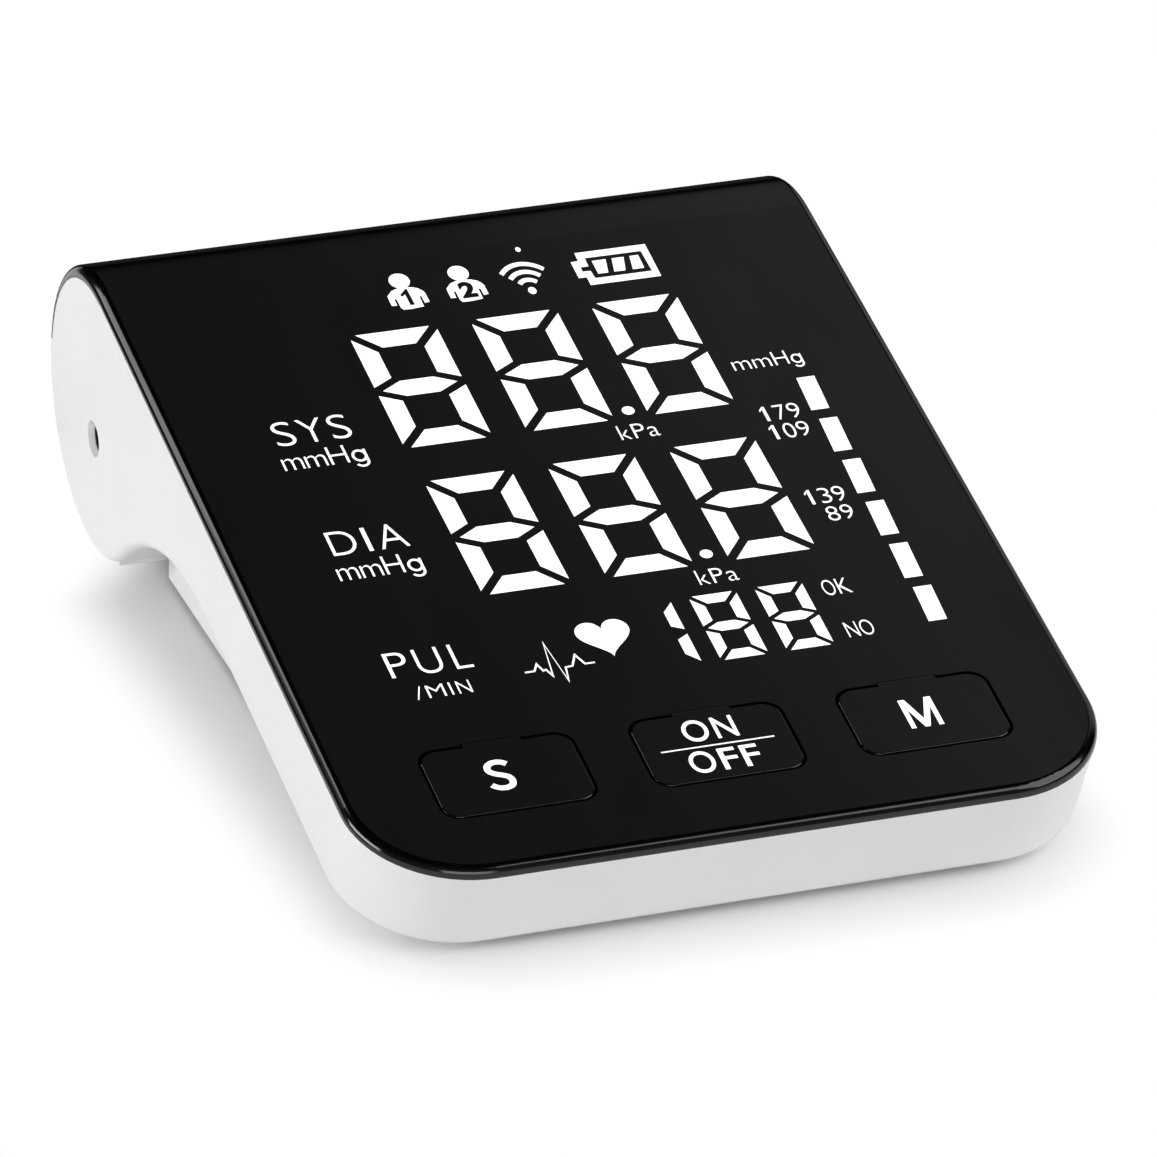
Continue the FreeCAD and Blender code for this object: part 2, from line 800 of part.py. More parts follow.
def boss_places():
    """Numbered places of the case screws on the ground plan: two in front, two at the back."""
    front = front_y + D.base_front + D.front_boss_back
    back = axis_y - D.rear_boss_forward
    places = [((half_width - D.front_boss_side) * side, front) for side in (-1, 1)]
    places += [((half_width - D.rear_boss_side) * side, back) for side in (-1, 1)]
    return list(enumerate(places))


def foot_places():
    """Places of the foot pads on the ground plan."""
    rows = (front_y + D.foot_front, axis_y - D.foot_back_gap)
    return [((half_width - D.foot_side_gap) * side, y) for side in (-1, 1) for y in rows]


def inlet_slot():
    """Round-ended slot through the right wall for the power inlet."""
    clear = D.inlet_clear
    height = D.inlet_height + clear * 2
    width = D.inlet_width + clear * 2
    start = half_width - D.case_wall - D.overrun
    length = D.case_wall + D.overrun * 2
    straight = width - height
    middle = block(
        "slot_middle", start, socket_y - straight / 2, socket_z - height / 2, length, straight, height, False
    )
    ends = [
        rod(f"slot_end_{side}", start, socket_y + straight / 2 * side, socket_z, height / 2, length, "x")
        for side in (-1, 1)
    ]
    return fuse("inlet_slot", [middle] + ends)


def build_bottom_cover():
    """Inner base: flat plate with side cheeks under the arches, battery bay, saddles and posts."""
    body = new_body("bottom_cover_body")
    lip = D.case_wall + D.base_lip
    front = front_y + D.base_front + D.base_gap
    back = axis_y - D.base_gap
    top_front = on_panel(blend_start, lip - D.slab_wall)
    cheek_end = on_panel(*blend_end(lip))
    front_top = front_z + (D.base_front + D.base_gap) * rise / run + (lip - D.slab_wall) / run
    profile = [
        (front, D.ground_gap),
        (back, D.ground_gap),
        (back, base_top),
        (cheek_end[0], base_top),
        (*cheek_end, "left", D.blend_radius + lip),
        top_front,
        (front, front_top),
    ]
    sketch = new_sketch(body, "YZ_Plane", "profile", [profile])
    extrude(body, "Pad", sketch, base_half * 2, symmetric=True)
    hollow = rectangle(front - D.overrun, base_top, back + D.overrun, axis_z)
    sketch = new_sketch(body, "YZ_Plane", "hollow", [hollow])
    extrude(body, "Pocket", sketch, (base_half - D.base_wall) * 2, symmetric=True)
    corners = [
        [
            (base_half * side, back - D.rear_cut_depth),
            ((base_half + D.overrun) * side, back - D.rear_cut_depth),
            ((base_half + D.overrun) * side, back + D.overrun),
            ((base_half - D.rear_cut_width) * side, back + D.overrun),
            ((base_half - D.rear_cut_width) * side, back),
        ]
        for side in (-1, 1)
    ]
    sketch = new_sketch(body, "XY_Plane", "rear_cuts", corners)
    extrude(body, "Pocket", sketch, axis_z, reverse=True)
    shift = bay_shift
    outer_half = bay_half + D.bay_wall
    bay = rectangle(
        shift - outer_half, bay_y - D.bay_wall, shift + outer_half, bay_y + bay_length + D.bay_wall
    )
    sketch = new_sketch(body, "XY_Plane", "bay", [bay], height=D.ground_gap)
    extrude(body, "Pad", sketch, bay_top + D.bay_roof - D.ground_gap)
    room = rectangle(shift - bay_half, bay_y, shift + bay_half, bay_y + bay_length)
    sketch = new_sketch(body, "XY_Plane", "bay_room", [room])
    extrude(body, "Pocket", sketch, bay_top, reverse=True)
    seat = rectangle(
        shift - bay_half - D.bay_ledge,
        bay_y - D.bay_ledge,
        shift + bay_half + D.bay_ledge,
        bay_y + bay_length + D.bay_ledge,
    )
    sketch = new_sketch(body, "XY_Plane", "door_seat", [seat])
    extrude(body, "Pocket", sketch, D.ground_gap + D.door_thickness + D.door_lift, reverse=True)
    slots = [
        rectangle(
            x - D.tab_width / 2 - D.tab_side_clear,
            bay_y - D.bay_wall - D.overrun,
            x + D.tab_width / 2 + D.tab_side_clear,
            bay_y + D.overrun,
        )
        for x in tab_places()
    ]
    sketch = new_sketch(body, "XY_Plane", "tab_slots", slots, height=base_top)
    extrude(body, "Pocket", sketch, D.tab_thickness + D.tab_room, reverse=True)
    risers = [
        rectangle(
            x - D.tab_width / 2 - D.tab_side_clear,
            bay_y - D.bay_ledge,
            x + D.tab_width / 2 + D.tab_side_clear,
            bay_y + D.overrun,
        )
        for x in tab_places()
    ]
    sketch = new_sketch(body, "XY_Plane", "tab_risers", risers)
    extrude(body, "Pocket", sketch, base_top + D.overrun, reverse=True)
    recess = D.foot_height - D.ground_gap
    feet = [(x, y, D.foot_radius + D.foot_clear) for x, y in foot_places()]
    sketch = new_sketch(body, "XY_Plane", "foot_seats", circles=feet)
    extrude(body, "Pocket", sketch, D.ground_gap + recess, reverse=True)
    holes = [(x, y, D.screw_radius + D.screw_clear) for i, (x, y) in boss_places()]
    sketch = new_sketch(body, "XY_Plane", "screw_holes", circles=holes)
    extrude(body, "Pocket", sketch, base_top + D.overrun, reverse=True)
    heads = [(x, y, D.screw_head_radius + D.screw_clear) for i, (x, y) in boss_places()]
    sketch = new_sketch(body, "XY_Plane", "screw_seats", circles=heads)
    extrude(body, "Pocket", sketch, D.ground_gap + D.screw_head_height, reverse=True)
    nail = [(shift, bay_y + bay_length + D.bay_ledge, D.nail_radius)]
    sketch = new_sketch(body, "XY_Plane", "nail_scoop", circles=nail)
    extrude(body, "Pocket", sketch, D.ground_gap + D.nail_depth, reverse=True)
    doc.recompute()
    keep(cut("bottom_cover", fuse("fitted_base", [body] + base_supports()), saddle_cuts()), "bottom_cover")


def tab_places():
    """Places of the door tabs, between neighbouring cells."""
    return [bay_shift + D.cell_pitch * side for side in (-1, 1)]


def sleeve_starts():
    """Where the two rubber sleeves start along the pump."""
    head = pump_start() + pump_head_length / 2 - D.sleeve_width / 2
    motor = pump_start() + pump_head_length + motor_length - D.sleeve_inset - D.sleeve_width
    return [("head", head, pump_head_radius), ("motor", motor, motor_radius)]


def pump_start():
    """Left face of the pump head."""
    return valve_x + D.hub_radius + D.barb_length * 2 + D.tube_end_gap * 2 + D.sleeve_inset


def base_supports():
    """Saddles under the pump, and posts under the valve and the inlet board."""
    items = []
    for name, start, radius in sleeve_starts():
        half = radius + D.sleeve_thickness + D.saddle_side
        x = start + (D.sleeve_width - D.saddle_width) / 2
        depth = half + D.socket_forward - D.base_gap
        height = socket_z - base_top
        items.append(
            block(f"{name}_saddle", x, socket_y - half, base_top, D.saddle_width, depth, height, False)
        )
    valve_low = socket_z - D.valve_height / 2
    items.append(
        block(
            "valve_post",
            valve_x - D.valve_width / 2,
            valve_start(),
            base_top,
            D.valve_width,
            D.valve_depth,
            valve_low - base_top,
            False,
        )
    )
    board_under = socket_z - D.inlet_height / 2 - D.inlet_board
    items.append(
        block(
            "inlet_post",
            inner_half - D.inlet_clear - D.inlet_board_length,
            axis_y - D.base_gap - D.inlet_post_width,
            base_top,
            D.inlet_board_length - D.base_gap - inlet_post_set(),
            D.inlet_post_width,
            board_under - base_top,
            False,
        )
    )
    return items


def inlet_post_set():
    """How far the inlet post stays inside the board's outer end, clear of the plate's cut corner."""
    return inner_half - D.inlet_clear - base_half + D.rear_cut_width


def saddle_cuts():
    """Round seats of the sleeves in their saddles."""
    items = []
    for name, start, radius in sleeve_starts():
        seat = radius + D.sleeve_thickness + D.sleeve_clear * 2
        x = start + (D.sleeve_width - D.saddle_width) / 2 - D.overrun
        items.append(
            rod(f"{name}_seat", x, socket_y, socket_z, seat, D.saddle_width + D.overrun * 2, "x")
        )
    return items


def valve_start():
    """Front face of the valve."""
    end = socket_y - D.hub_radius - D.barb_length * 2 - D.tube_end_gap * 2
    return end - D.valve_depth


def build_keys():
    """Three flap keys, each with a round bead along its hinge edge and a nub over its switch."""
    top = D.cover_thickness
    reach = D.board_drop - D.switch_height - D.plunger_rise - D.nub_gap
    for name, column in KEY_COLUMNS.items():
        body = new_body(f"{name}_key_body")
        plate = rounded(-D.key_width / 2, D.key_front, D.key_width / 2, key_back, D.key_radius)
        sketch = new_sketch(body, "XY_Plane", "plate", [plate])
        extrude(body, "Pad", sketch, top)
        high = float(top) - Part.Precision.confusion()
        round_edges(
            body, "lip", D.key_edge_radius, lambda edge: all(vertex.Z > high for vertex in edge.Vertexes)
        )
        bridge = rectangle(-D.key_bridge / 2, key_back - D.key_radius, D.key_bridge / 2, hinge_s)
        sketch = new_sketch(body, "XY_Plane", "bridge", [bridge])
        extrude(body, "Pad", sketch, top)
        sketch = new_sketch(body, "YZ_Plane", "bead", circles=[(hinge_s, top / 2, top / 2)])
        extrude(body, "Pad", sketch, D.key_bridge, symmetric=True)
        sketch = new_sketch(body, "XY_Plane", "nub", circles=[(0.0, nub_s, D.nub_radius)])
        extrude(body, "Pad", sketch, reach, reverse=True)
        put(body, key_pitch * column, front_y, front_z, (1, 0, 0), slope)
        keep(body, f"{name}_key")


def build_switches():
    """Three push switches: a square body with a round well, and the plunger in it."""
    half = D.switch_side / 2
    low = -D.board_drop
    high = low + D.switch_height
    for name, column in KEY_COLUMNS.items():
        x = key_pitch * column
        base = block(f"{name}_base", x - half, nub_s - half, low, half * 2, half * 2, D.switch_height)
        well_low = high - D.plunger_depth - D.plunger_room
        well = rod(
            f"{name}_well",
            x,
            nub_s,
            well_low,
            D.plunger_radius + D.plunger_clear,
            D.plunger_depth + D.plunger_room + D.overrun,
        )
        keep(cut(f"{name}_switch", base, [well]), f"{name}_switch")
        length = D.plunger_depth + D.plunger_rise
        plunger = rod(f"{name}_plunger", x, nub_s, high - D.plunger_depth, D.plunger_radius, length)
        keep(plunger, f"{name}_plunger")


def build_board():
    """Main board under the panel, with its screws, chip, buzzer and pressure sensor."""
    body = new_body("main_board_body")
    half = board_half
    back = D.panel_length + D.board_back
    radius = D.board_corner_radius
    outline = [
        (radius - half, D.board_front),
        (half - radius, D.board_front, "left", radius),
        (half, D.board_front + radius),
        (half, back),
        (-half, back),
        (-half, D.board_front + radius, "left", radius),
    ]
    sketch = new_sketch(body, "XY_Plane", "outline", [outline], height=board_low)
    extrude(body, "Pad", sketch, D.board_thickness)
    bore = D.board_screw_radius + D.board_hole_clear
    holes = [(x, s, bore) for x, s in post_places()]
    sketch = new_sketch(body, "XY_Plane", "holes", circles=holes, height=board_low - D.overrun)
    extrude(body, "Pocket", sketch, D.board_thickness + D.overrun * 2, reverse=True)
    tilt(body)
    keep(body, "main_board")
    screws = []
    for number, (x, s) in enumerate(post_places()):
        height = D.board_screw_head_height
        head_low = board_low - height
        head = rod(f"board_head_{number}", x, s, head_low, D.board_screw_head_radius, height)
        length = height + D.board_thickness + D.board_screw_grip
        shank = rod(f"board_shank_{number}", x, s, head_low, D.board_screw_radius, length)
        screws.append(fuse(f"board_screw_{number}", [head, shank]))
    keep(group("board_screws", screws), "board_screws")
    chip_half = D.chip_side / 2
    keep(
        block(
            "control_chip",
            -chip_half,
            D.chip_place - chip_half,
            board_low - D.chip_height,
            D.chip_side,
            D.chip_side,
            D.chip_height,
        ),
        "control_chip",
    )
    low = board_low - D.buzzer_height
    buzzer_x = D.buzzer_edge_gap - board_half
    can = rod("buzzer_can", buzzer_x, D.buzzer_place, low, D.buzzer_radius, D.buzzer_height)
    hole = rod(
        "buzzer_hole",
        buzzer_x,
        D.buzzer_place,
        low - D.overrun,
        D.buzzer_hole_radius,
        D.buzzer_height / 2 + D.overrun,
    )
    keep(cut("buzzer", can, [hole]), "buzzer")


def manifold_place():
    """Panel-frame place of the air manifold, on the socket's line."""
    down = axis_z - socket_z
    forward = axis_y - socket_y
    s = D.panel_length - forward * run - down * rise
    n = -inner_barrel + forward * rise - down * run
    return s, n


def segment_outlines(left, base, width, height, stroke, bar, gap):
    """Seven mitred strokes of one upright digit, as lists of corners."""
    mid = height / 2
    half = bar / 2
    near = stroke + gap
    far = width - near
    shapes = []
    for outer, inward in ((0.0, bar), (height, height - bar)):
        shapes.append([(gap, outer), (width - gap, outer), (far, inward), (near, inward)])
    shapes.append(
        [
            (gap, mid),
            (near, mid - half),
            (far, mid - half),
            (width - gap, mid),
            (far, mid + half),
            (near, mid + half),
        ]
    )
    for end, way in ((0.0, 1), (height, -1)):
        tip = end + gap * way
        nose = mid - gap * way
        for outside, inside in ((0.0, stroke), (width, width - stroke)):
            shapes.append(
                [(outside, tip), (inside, tip + bar * way), (inside, nose - half * way), (outside, nose)]
            )
    return [[(left + u, base + v) for u, v in shape] for shape in shapes]


def lit_shapes():
    """Outlines of every lit stroke and bar of the display, in the panel frame."""
    wide = D.case_width
    large_sizes = (wide * D.digit_width_share, D.digit_height, D.side_stroke, D.level_stroke, D.stroke_gap)
    pulse_width = wide * D.pulse_width_share
    small_sizes = (pulse_width, D.pulse_height, D.pulse_side_stroke, D.pulse_level_stroke, D.pulse_gap)
    large = [float(size) for size in large_sizes]
    small = [float(size) for size in small_sizes]
    shapes = []
    for base in (D.systolic_base, D.diastolic_base):
        for place in range(DIGIT_COUNT):
            left = float(wide * (D.digit_left_share + D.digit_pitch_share * place))
            shapes += segment_outlines(left, float(base), *large)
    for place in range(DIGIT_COUNT):
        left = float(wide * (D.pulse_left_share + D.pulse_pitch_share * place))
        strokes = segment_outlines(left, float(D.pulse_base), *small)
        right_strokes = [strokes[4], strokes[6]]
        shapes += right_strokes if place == 0 else strokes
    for number in range(BAR_COUNT):
        left = float(display_right - D.bar_edge_gap)
        low = float(D.bar_base + D.bar_pitch * number)
        right = left + float(D.bar_width)
        high = low + float(D.bar_height)
        lean = float(D.bar_lean)
        shapes.append([(left, low), (right, low), (right + lean, high), (left + lean, high)])
    return shapes


def prism(corners, low, height, grow=0.0):
    """Upright solid on an outline, grown outwards by a margin."""
    points = [FreeCAD.Vector(u, v, low) for u, v in corners]
    wire = Part.makePolygon(points + points[:1])
    if grow:
        wire = wire.makeOffset2D(grow, join=2)
    return Part.Face(wire).extrude(FreeCAD.Vector(0, 0, height))


def build_display():
    """Reflector block with one light well for each stroke, its diffuser sheet and the light dice."""
    low = -D.board_drop
    height = D.board_drop - D.diffuser_thickness
    width = display_left + display_right
    depth = D.display_back - D.display_front
    shapes = lit_shapes()
    base = Part.makeBox(
        float(width),
        float(depth),
        float(height),
        vector(-display_left, D.display_front, low),
    )
    grow = float(D.well_grow)
    over = float(D.overrun)
    wells = [prism(shape, float(low) - over, float(height) + over * 2, grow) for shape in shapes]
    reflector = doc.addObject("Part::Feature", "display_reflector")
    reflector.Shape = base.cut(Part.makeCompound(wells))
    tilt(reflector)
    keep(reflector, "display_reflector")
    skin = D.diffuser_thickness
    diffuser = block("display_diffuser", -display_left, D.display_front, -skin, width, depth, skin)
    keep(diffuser, "display_diffuser")
    dice = []
    for shape in shapes:
        u = sum(point[0] for point in shape) / len(shape)
        v = sum(point[1] for point in shape) / len(shape)
        corner = FreeCAD.Vector(u - float(D.die_length) / 2, v - float(D.die_width) / 2, float(low))
        dice.append(Part.makeBox(float(D.die_length), float(D.die_width), float(D.die_height), corner))
    lights = doc.addObject("Part::Feature", "display_lights")
    lights.Shape = Part.makeCompound(dice)
    tilt(lights)
    keep(lights, "display_lights")


def build_air_line():
    """Air socket, manifold, valve, sensor, pump and the short tubes between them."""
    left = -inner_half
    body_length = D.port_bore_depth + D.socket_end
    flange = rod("socket_flange", left, socket_y, socket_z, D.socket_flange_radius, D.socket_flange, "x")
    barrel = rod("socket_barrel", left, socket_y, socket_z, D.socket_body_radius, body_length, "x")
    socket_barb = rod(
        "socket_barb", left + body_length, socket_y, socket_z, D.barb_radius, D.barb_length, "x"
    )
    bore_length = D.port_bore_depth + D.overrun
    bore = rod("socket_bore", left - D.overrun, socket_y, socket_z, D.port_bore_radius, bore_length, "x")
    duct = rod(
        "socket_duct", left, socket_y, socket_z, D.duct_radius, body_length + D.barb_length + D.overrun, "x"
    )
    solid = fuse("socket_solid", [flange, barrel, socket_barb])
    keep(cut("air_socket", solid, [bore, duct]), "air_socket")

    arm = D.hub_radius + D.barb_length
    s, n = manifold_place()
    sensor_low = board_low - D.sensor_height
    sensor_barb = (sensor_low - n - D.hub_radius) * D.sensor_barb_share
    hub = rod("manifold_hub", valve_x - D.hub_radius, socket_y, socket_z, D.hub_radius, D.hub_radius * 2, "x")
    across = rod("manifold_across", valve_x - arm, socket_y, socket_z, D.barb_radius, arm * 2, "x")
    forward = rod("manifold_forward", valve_x, socket_y - arm, socket_z, D.barb_radius, arm, "y")
    upward = rod("manifold_upward", valve_x, s, n, D.barb_radius, D.hub_radius + sensor_barb)
    room = D.hub_room_radius
    inset = room / 2
    reach = arm + D.overrun
    ducts = [
        rod("hub_room", valve_x - room, socket_y, socket_z, room, room * 2, "x"),
        rod("across_duct", valve_x - reach, socket_y, socket_z, D.duct_radius, reach * 2, "x"),
        rod("forward_duct", valve_x, socket_y - reach, socket_z, D.duct_radius, reach - inset, "y"),
        rod("upward_duct", valve_x, s, n + inset, D.duct_radius, reach - inset),
    ]
    keep(cut("air_manifold", fuse("manifold_solid", [hub, across, forward, upward]), ducts), "air_manifold")

    gap = D.tube_end_gap
    socket_end = left + body_length + gap
    tube("socket_tube", socket_end, socket_y, socket_z, valve_x - D.hub_radius - gap - socket_end, "x")
    pump_from = valve_x + D.hub_radius + gap
    tube("pump_tube", pump_from, socket_y, socket_z, pump_start() - gap - pump_from, "x")
    valve_end = valve_start() + D.valve_depth
    tube("valve_tube", valve_x, valve_end + gap, socket_z, socket_y - D.hub_radius - gap * 2 - valve_end, "y")
    tube("sensor_tube", valve_x, s, n + D.hub_radius + gap, sensor_low - gap * 2 - n - D.hub_radius, "n")

    side = D.sensor_side
    case = block("sensor_case", valve_x - side / 2, s - side / 2, sensor_low, side, side, D.sensor_height)
    spigot = rod("sensor_spigot", valve_x, s, sensor_low - sensor_barb, D.barb_radius, sensor_barb)
    hole_low = sensor_low - sensor_barb - D.overrun
    hole = rod("sensor_hole", valve_x, s, hole_low, D.duct_radius, sensor_barb)
    keep(cut("pressure_sensor", fuse("sensor_solid", [case, spigot]), [hole]), "pressure_sensor")
    build_valve()
    build_pump()


def tube(label, x, y, z, length, along):
    """A straight soft tube pushed over two barbs."""
    outer = rod(f"{label}_outer", x, y, z, D.tube_radius, length, along)
    bore = D.barb_radius + D.tube_clear
    over = D.overrun
    if along == "x":
        inner = rod(f"{label}_bore", x - over, y, z, bore, length + over * 2, along)
    elif along == "y":
        inner = rod(f"{label}_bore", x, y - over, z, bore, length + over * 2, along)
    else:
        inner = rod(f"{label}_bore", x, y, z - over, bore, length + over * 2, along)
    keep(cut(label, outer, [inner]), label)


def build_valve():
    """Exhaust valve: a coil body with a spigot towards the manifold."""
    body = new_body("exhaust_valve_body")
    half = D.valve_width / 2
    tall = D.valve_height / 2
    section = rounded(-half, -tall, half, tall, D.valve_edge_radius)
    sketch = new_sketch(body, "XZ_Plane", "section", [section])
    extrude(body, "Pad", sketch, D.valve_depth, reverse=True)
    sketch = new_sketch(
        body, "XZ_Plane", "spigot", circles=[(0.0, 0.0, D.barb_radius)], height=-D.valve_depth
    )
    extrude(body, "Pad", sketch, D.barb_length, reverse=True)
    sketch = new_sketch(
        body, "XZ_Plane", "duct", circles=[(0.0, 0.0, D.duct_radius)], height=-D.valve_depth - D.barb_length
    )
    extrude(body, "Pocket", sketch, D.barb_length, reverse=True)
    put(body, valve_x, valve_start(), socket_z)
    keep(body, "exhaust_valve")


def revolve(body, sketch):
    """Turns a half section about its sketch's level axis."""
    feature = body.newObject("PartDesign::Revolution", f"{sketch.Name}_turned")
    feature.Profile = sketch
    feature.ReferenceAxis = (sketch, ["H_Axis"])
    feature.Angle = 360
    doc.recompute()
    return feature


def build_pump():
    """Pump head with its stepped rings and outlet, the motor can behind it and the rubber sleeves."""
    radius = pump_head_radius
    length = pump_head_length
    ring_low = radius - D.pump_ring_step
    body = new_body("pump_head_body")
    section = [
        (-D.barb_length, D.duct_radius),
        (length / 2, D.duct_radius),
        (length / 2, 0.0),
        (length, 0.0),
        (length, radius),
        (length - D.pump_ring, radius),
        (length - D.pump_ring, ring_low),
        (length - D.pump_ring * 2, ring_low),
        (length - D.pump_ring * 2, radius),
        (D.pump_ring * 2, radius),
        (D.pump_ring * 2, ring_low),
        (D.pump_ring, ring_low),
        (D.pump_ring, radius),
        (0.0, radius),
        (0.0, D.barb_radius),
        (-D.barb_length, D.barb_radius),
    ]
    revolve(body, new_sketch(body, "XZ_Plane", "section", [section]))
    put(body, pump_start(), socket_y, socket_z)
    keep(body, "pump_head")

    can = new_body("pump_motor_body")
    edge = D.motor_edge_radius
    end = motor_length
    half_section = [
        (0.0, 0.0),
        (end + D.motor_boss, 0.0),
        (end + D.motor_boss, D.motor_boss_radius),
        (end, D.motor_boss_radius),
        (end, motor_radius - edge, "left", edge),
        (end - edge, motor_radius),
        (0.0, motor_radius),
    ]
    revolve(can, new_sketch(can, "XZ_Plane", "section", [half_section]))
    put(can, pump_start() + pump_head_length, socket_y, socket_z)
    keep(can, "pump_motor")

    sleeves = []
    for name, start, inner in sleeve_starts():
        bore = inner + D.sleeve_clear
        skin = bore + D.sleeve_thickness
        outer = rod(f"{name}_sleeve_outer", start, socket_y, socket_z, skin, D.sleeve_width, "x")
        hole = rod(
            f"{name}_sleeve_bore",
            start - D.overrun,
            socket_y,
            socket_z,
            bore,
            D.sleeve_width + D.overrun * 2,
            "x",
        )
        sleeves.append(cut(f"{name}_sleeve", outer, [hole]))
    keep(group("pump_sleeves", sleeves), "pump_sleeves")


def cell_places():
    """Place of each cell across the bay, and which way round it lies."""
    middle = (CELL_COUNT - 1) / 2
    return [(bay_shift + D.cell_pitch * (i - middle), 1 if i % 2 == 0 else -1) for i in range(CELL_COUNT)]


def build_battery():
    """Four cells laid head to tail, with a bowed leaf at each flat end and a plate at each tip."""
    cells = []
    leaves = []
    plates = []
    gap = D.contact_gap
    back = bay_y + bay_length
    for number, (x, way) in enumerate(cell_places()):
        body = new_body(f"cell_{number}")
        edge = D.cell_bevel
        shoulder = D.cell_length - D.cell_tip
        half_section = [
            (0.0, 0.0),
            (D.cell_length, 0.0),
            (D.cell_length, D.cell_tip_radius),
            (shoulder, D.cell_tip_radius),
            (shoulder, D.cell_radius - edge),
            (shoulder - edge, D.cell_radius),
            (edge, D.cell_radius),
            (0.0, D.cell_radius - edge),
        ]
        revolve(body, new_sketch(body, "XZ_Plane", "section", [half_section]))
        flat = bay_y + D.leaf_depth + gap if way > 0 else back - D.leaf_depth - gap
        put(body, x, flat, cell_z, (0, 0, 1), 90 * way)
        cells.append(body)
        leaf = new_body(f"leaf_{number}")
        half = D.contact_height / 2
        skin = D.leaf_thickness
        bow = (half * half + (D.leaf_depth - skin) * (D.leaf_depth - skin)) / ((D.leaf_depth - skin) * 2)
        outline = [
            (0.0, -half),
            (skin, -half, "left", bow),
            (skin, half),
            (0.0, half, "right", bow),
        ]
        sketch = new_sketch(leaf, "XZ_Plane", "bow", [outline])
        extrude(leaf, "Pad", sketch, D.contact_width, symmetric=True)
        put(leaf, x, bay_y if way > 0 else back, cell_z, (0, 0, 1), 90 * way)
        leaves.append(leaf)
        plate_y = back - D.plate_thickness if way > 0 else bay_y
        plates.append(
            block(
                f"plate_{number}",
                x - D.contact_width / 2,
                plate_y,
                cell_z - D.contact_height / 2,
                D.contact_width,
                D.plate_thickness,
                D.contact_height,
                False,
            )
        )
    keep(group("battery_cells", cells), "battery_cells")
    keep(group("battery_springs", leaves), "battery_springs")
    keep(group("battery_plates", plates), "battery_plates")


def build_battery_door():
    """Flat door with a round lower front edge, two tabs inside and a latch tongue at the back."""
    body = new_body("battery_door_body")
    half = bay_half + D.bay_ledge - D.door_gap
    front = bay_y - D.bay_ledge + D.door_gap
    back = bay_y + bay_length + D.bay_ledge - D.door_gap
    low = D.ground_gap
    high = low + D.door_thickness
    edge = D.door_edge_radius
    section = [
        (front + edge, low),
        (back, low),
        (back, high),
        (front, high),
        (front, low + edge, "left", edge),
    ]
    sketch = new_sketch(body, "YZ_Plane", "section", [section])
    extrude(body, "Pad", sketch, half * 2, symmetric=True)
    tab_low = base_top + D.door_lift
    tab = [
        (front, high - edge),
        (front + D.tab_thickness, high - edge),
        (front + D.tab_thickness, tab_low + D.tab_thickness),
        (front - D.tab_reach, tab_low + D.tab_thickness),
        (front - D.tab_reach, tab_low),
        (front, tab_low),
    ]
    for number, x in enumerate(tab_places()):
        start = x - bay_shift - D.tab_width / 2
        sketch = new_sketch(body, "YZ_Plane", f"tab_{number}", [tab], height=start)
        extrude(body, "Pad", sketch, D.tab_width)
    inner = D.latch_width / 2
    slits = [
        rectangle(inner, back - D.latch_length, inner + D.latch_slit, back + D.overrun),
        rectangle(-inner - D.latch_slit, back - D.latch_length, -inner, back + D.overrun),
    ]
    sketch = new_sketch(body, "XY_Plane", "latch_slits", slits)
    extrude(body, "Pocket", sketch, high + D.overrun, reverse=True)
    put(body, bay_shift, 0.0, 0.0)
    keep(body, "battery_door")


def build_power_inlet():
    """Power inlet: a round-ended metal shell with a tongue, on its small board."""
    body = new_body("power_socket_body")
    half = D.inlet_width / 2
    tall = D.inlet_height / 2
    skin = D.inlet_skin
    sketch = new_sketch(body, "YZ_Plane", "shell", [stadium(half, tall)])
    extrude(body, "Pad", sketch, D.inlet_depth)
    sketch = new_sketch(body, "YZ_Plane", "mouth", [stadium(half - skin, tall - skin)], height=D.inlet_back)
    extrude(body, "Pocket", sketch, D.inlet_depth, reverse=True)
    tongue_half = D.inlet_tongue_width / 2
    tongue_tall = D.inlet_tongue / 2
    tongue = rectangle(-tongue_half, -tongue_tall, tongue_half, tongue_tall)
    sketch = new_sketch(body, "YZ_Plane", "tongue", [tongue])
    extrude(body, "Pad", sketch, D.inlet_depth - D.inlet_skin)
    put(body, inner_half - D.inlet_depth - D.inlet_clear, socket_y, socket_z)
    keep(body, "power_socket")
    board = block(
        "power_board",
        inner_half - D.inlet_clear - D.inlet_board_length,
        socket_y - D.inlet_board_width / 2,
        socket_z - D.inlet_height / 2 - D.inlet_board,
        D.inlet_board_length,
        D.inlet_board_width,
        D.inlet_board,
        False,
    )
    keep(board, "power_board")


def stadium(half, tall):
    """Outline with straight long sides and round ends."""
    flat = half - tall
    return [
        (-flat, -tall),
        (flat, -tall, "left", tall),
        (half, 0.0, "left", tall),
        (flat, tall),
        (-flat, tall, "left", tall),
        (-half, 0.0, "left", tall),
    ]


def build_fasteners():
    """Case screws from below and the rubber foot pads."""
    screws = []
    for number, (x, y) in boss_places():
        low = D.ground_gap
        head = rod(f"case_head_{number}", x, y, low, D.screw_head_radius, D.screw_head_height, "z")
        length = base_top - low + D.screw_length - D.boss_clear
        shank = rod(f"case_shank_{number}", x, y, low, D.screw_radius, length, "z")
        screws.append(fuse(f"case_screw_{number}", [head, shank]))
    keep(group("case_screws", screws), "case_screws")
    pads = [
        rod(f"foot_pad_{number}", x, y, 0.0, D.foot_radius, D.foot_height, "z")
        for number, (x, y) in enumerate(foot_places())
    ]
    keep(group("foot_pads", pads), "foot_pads")


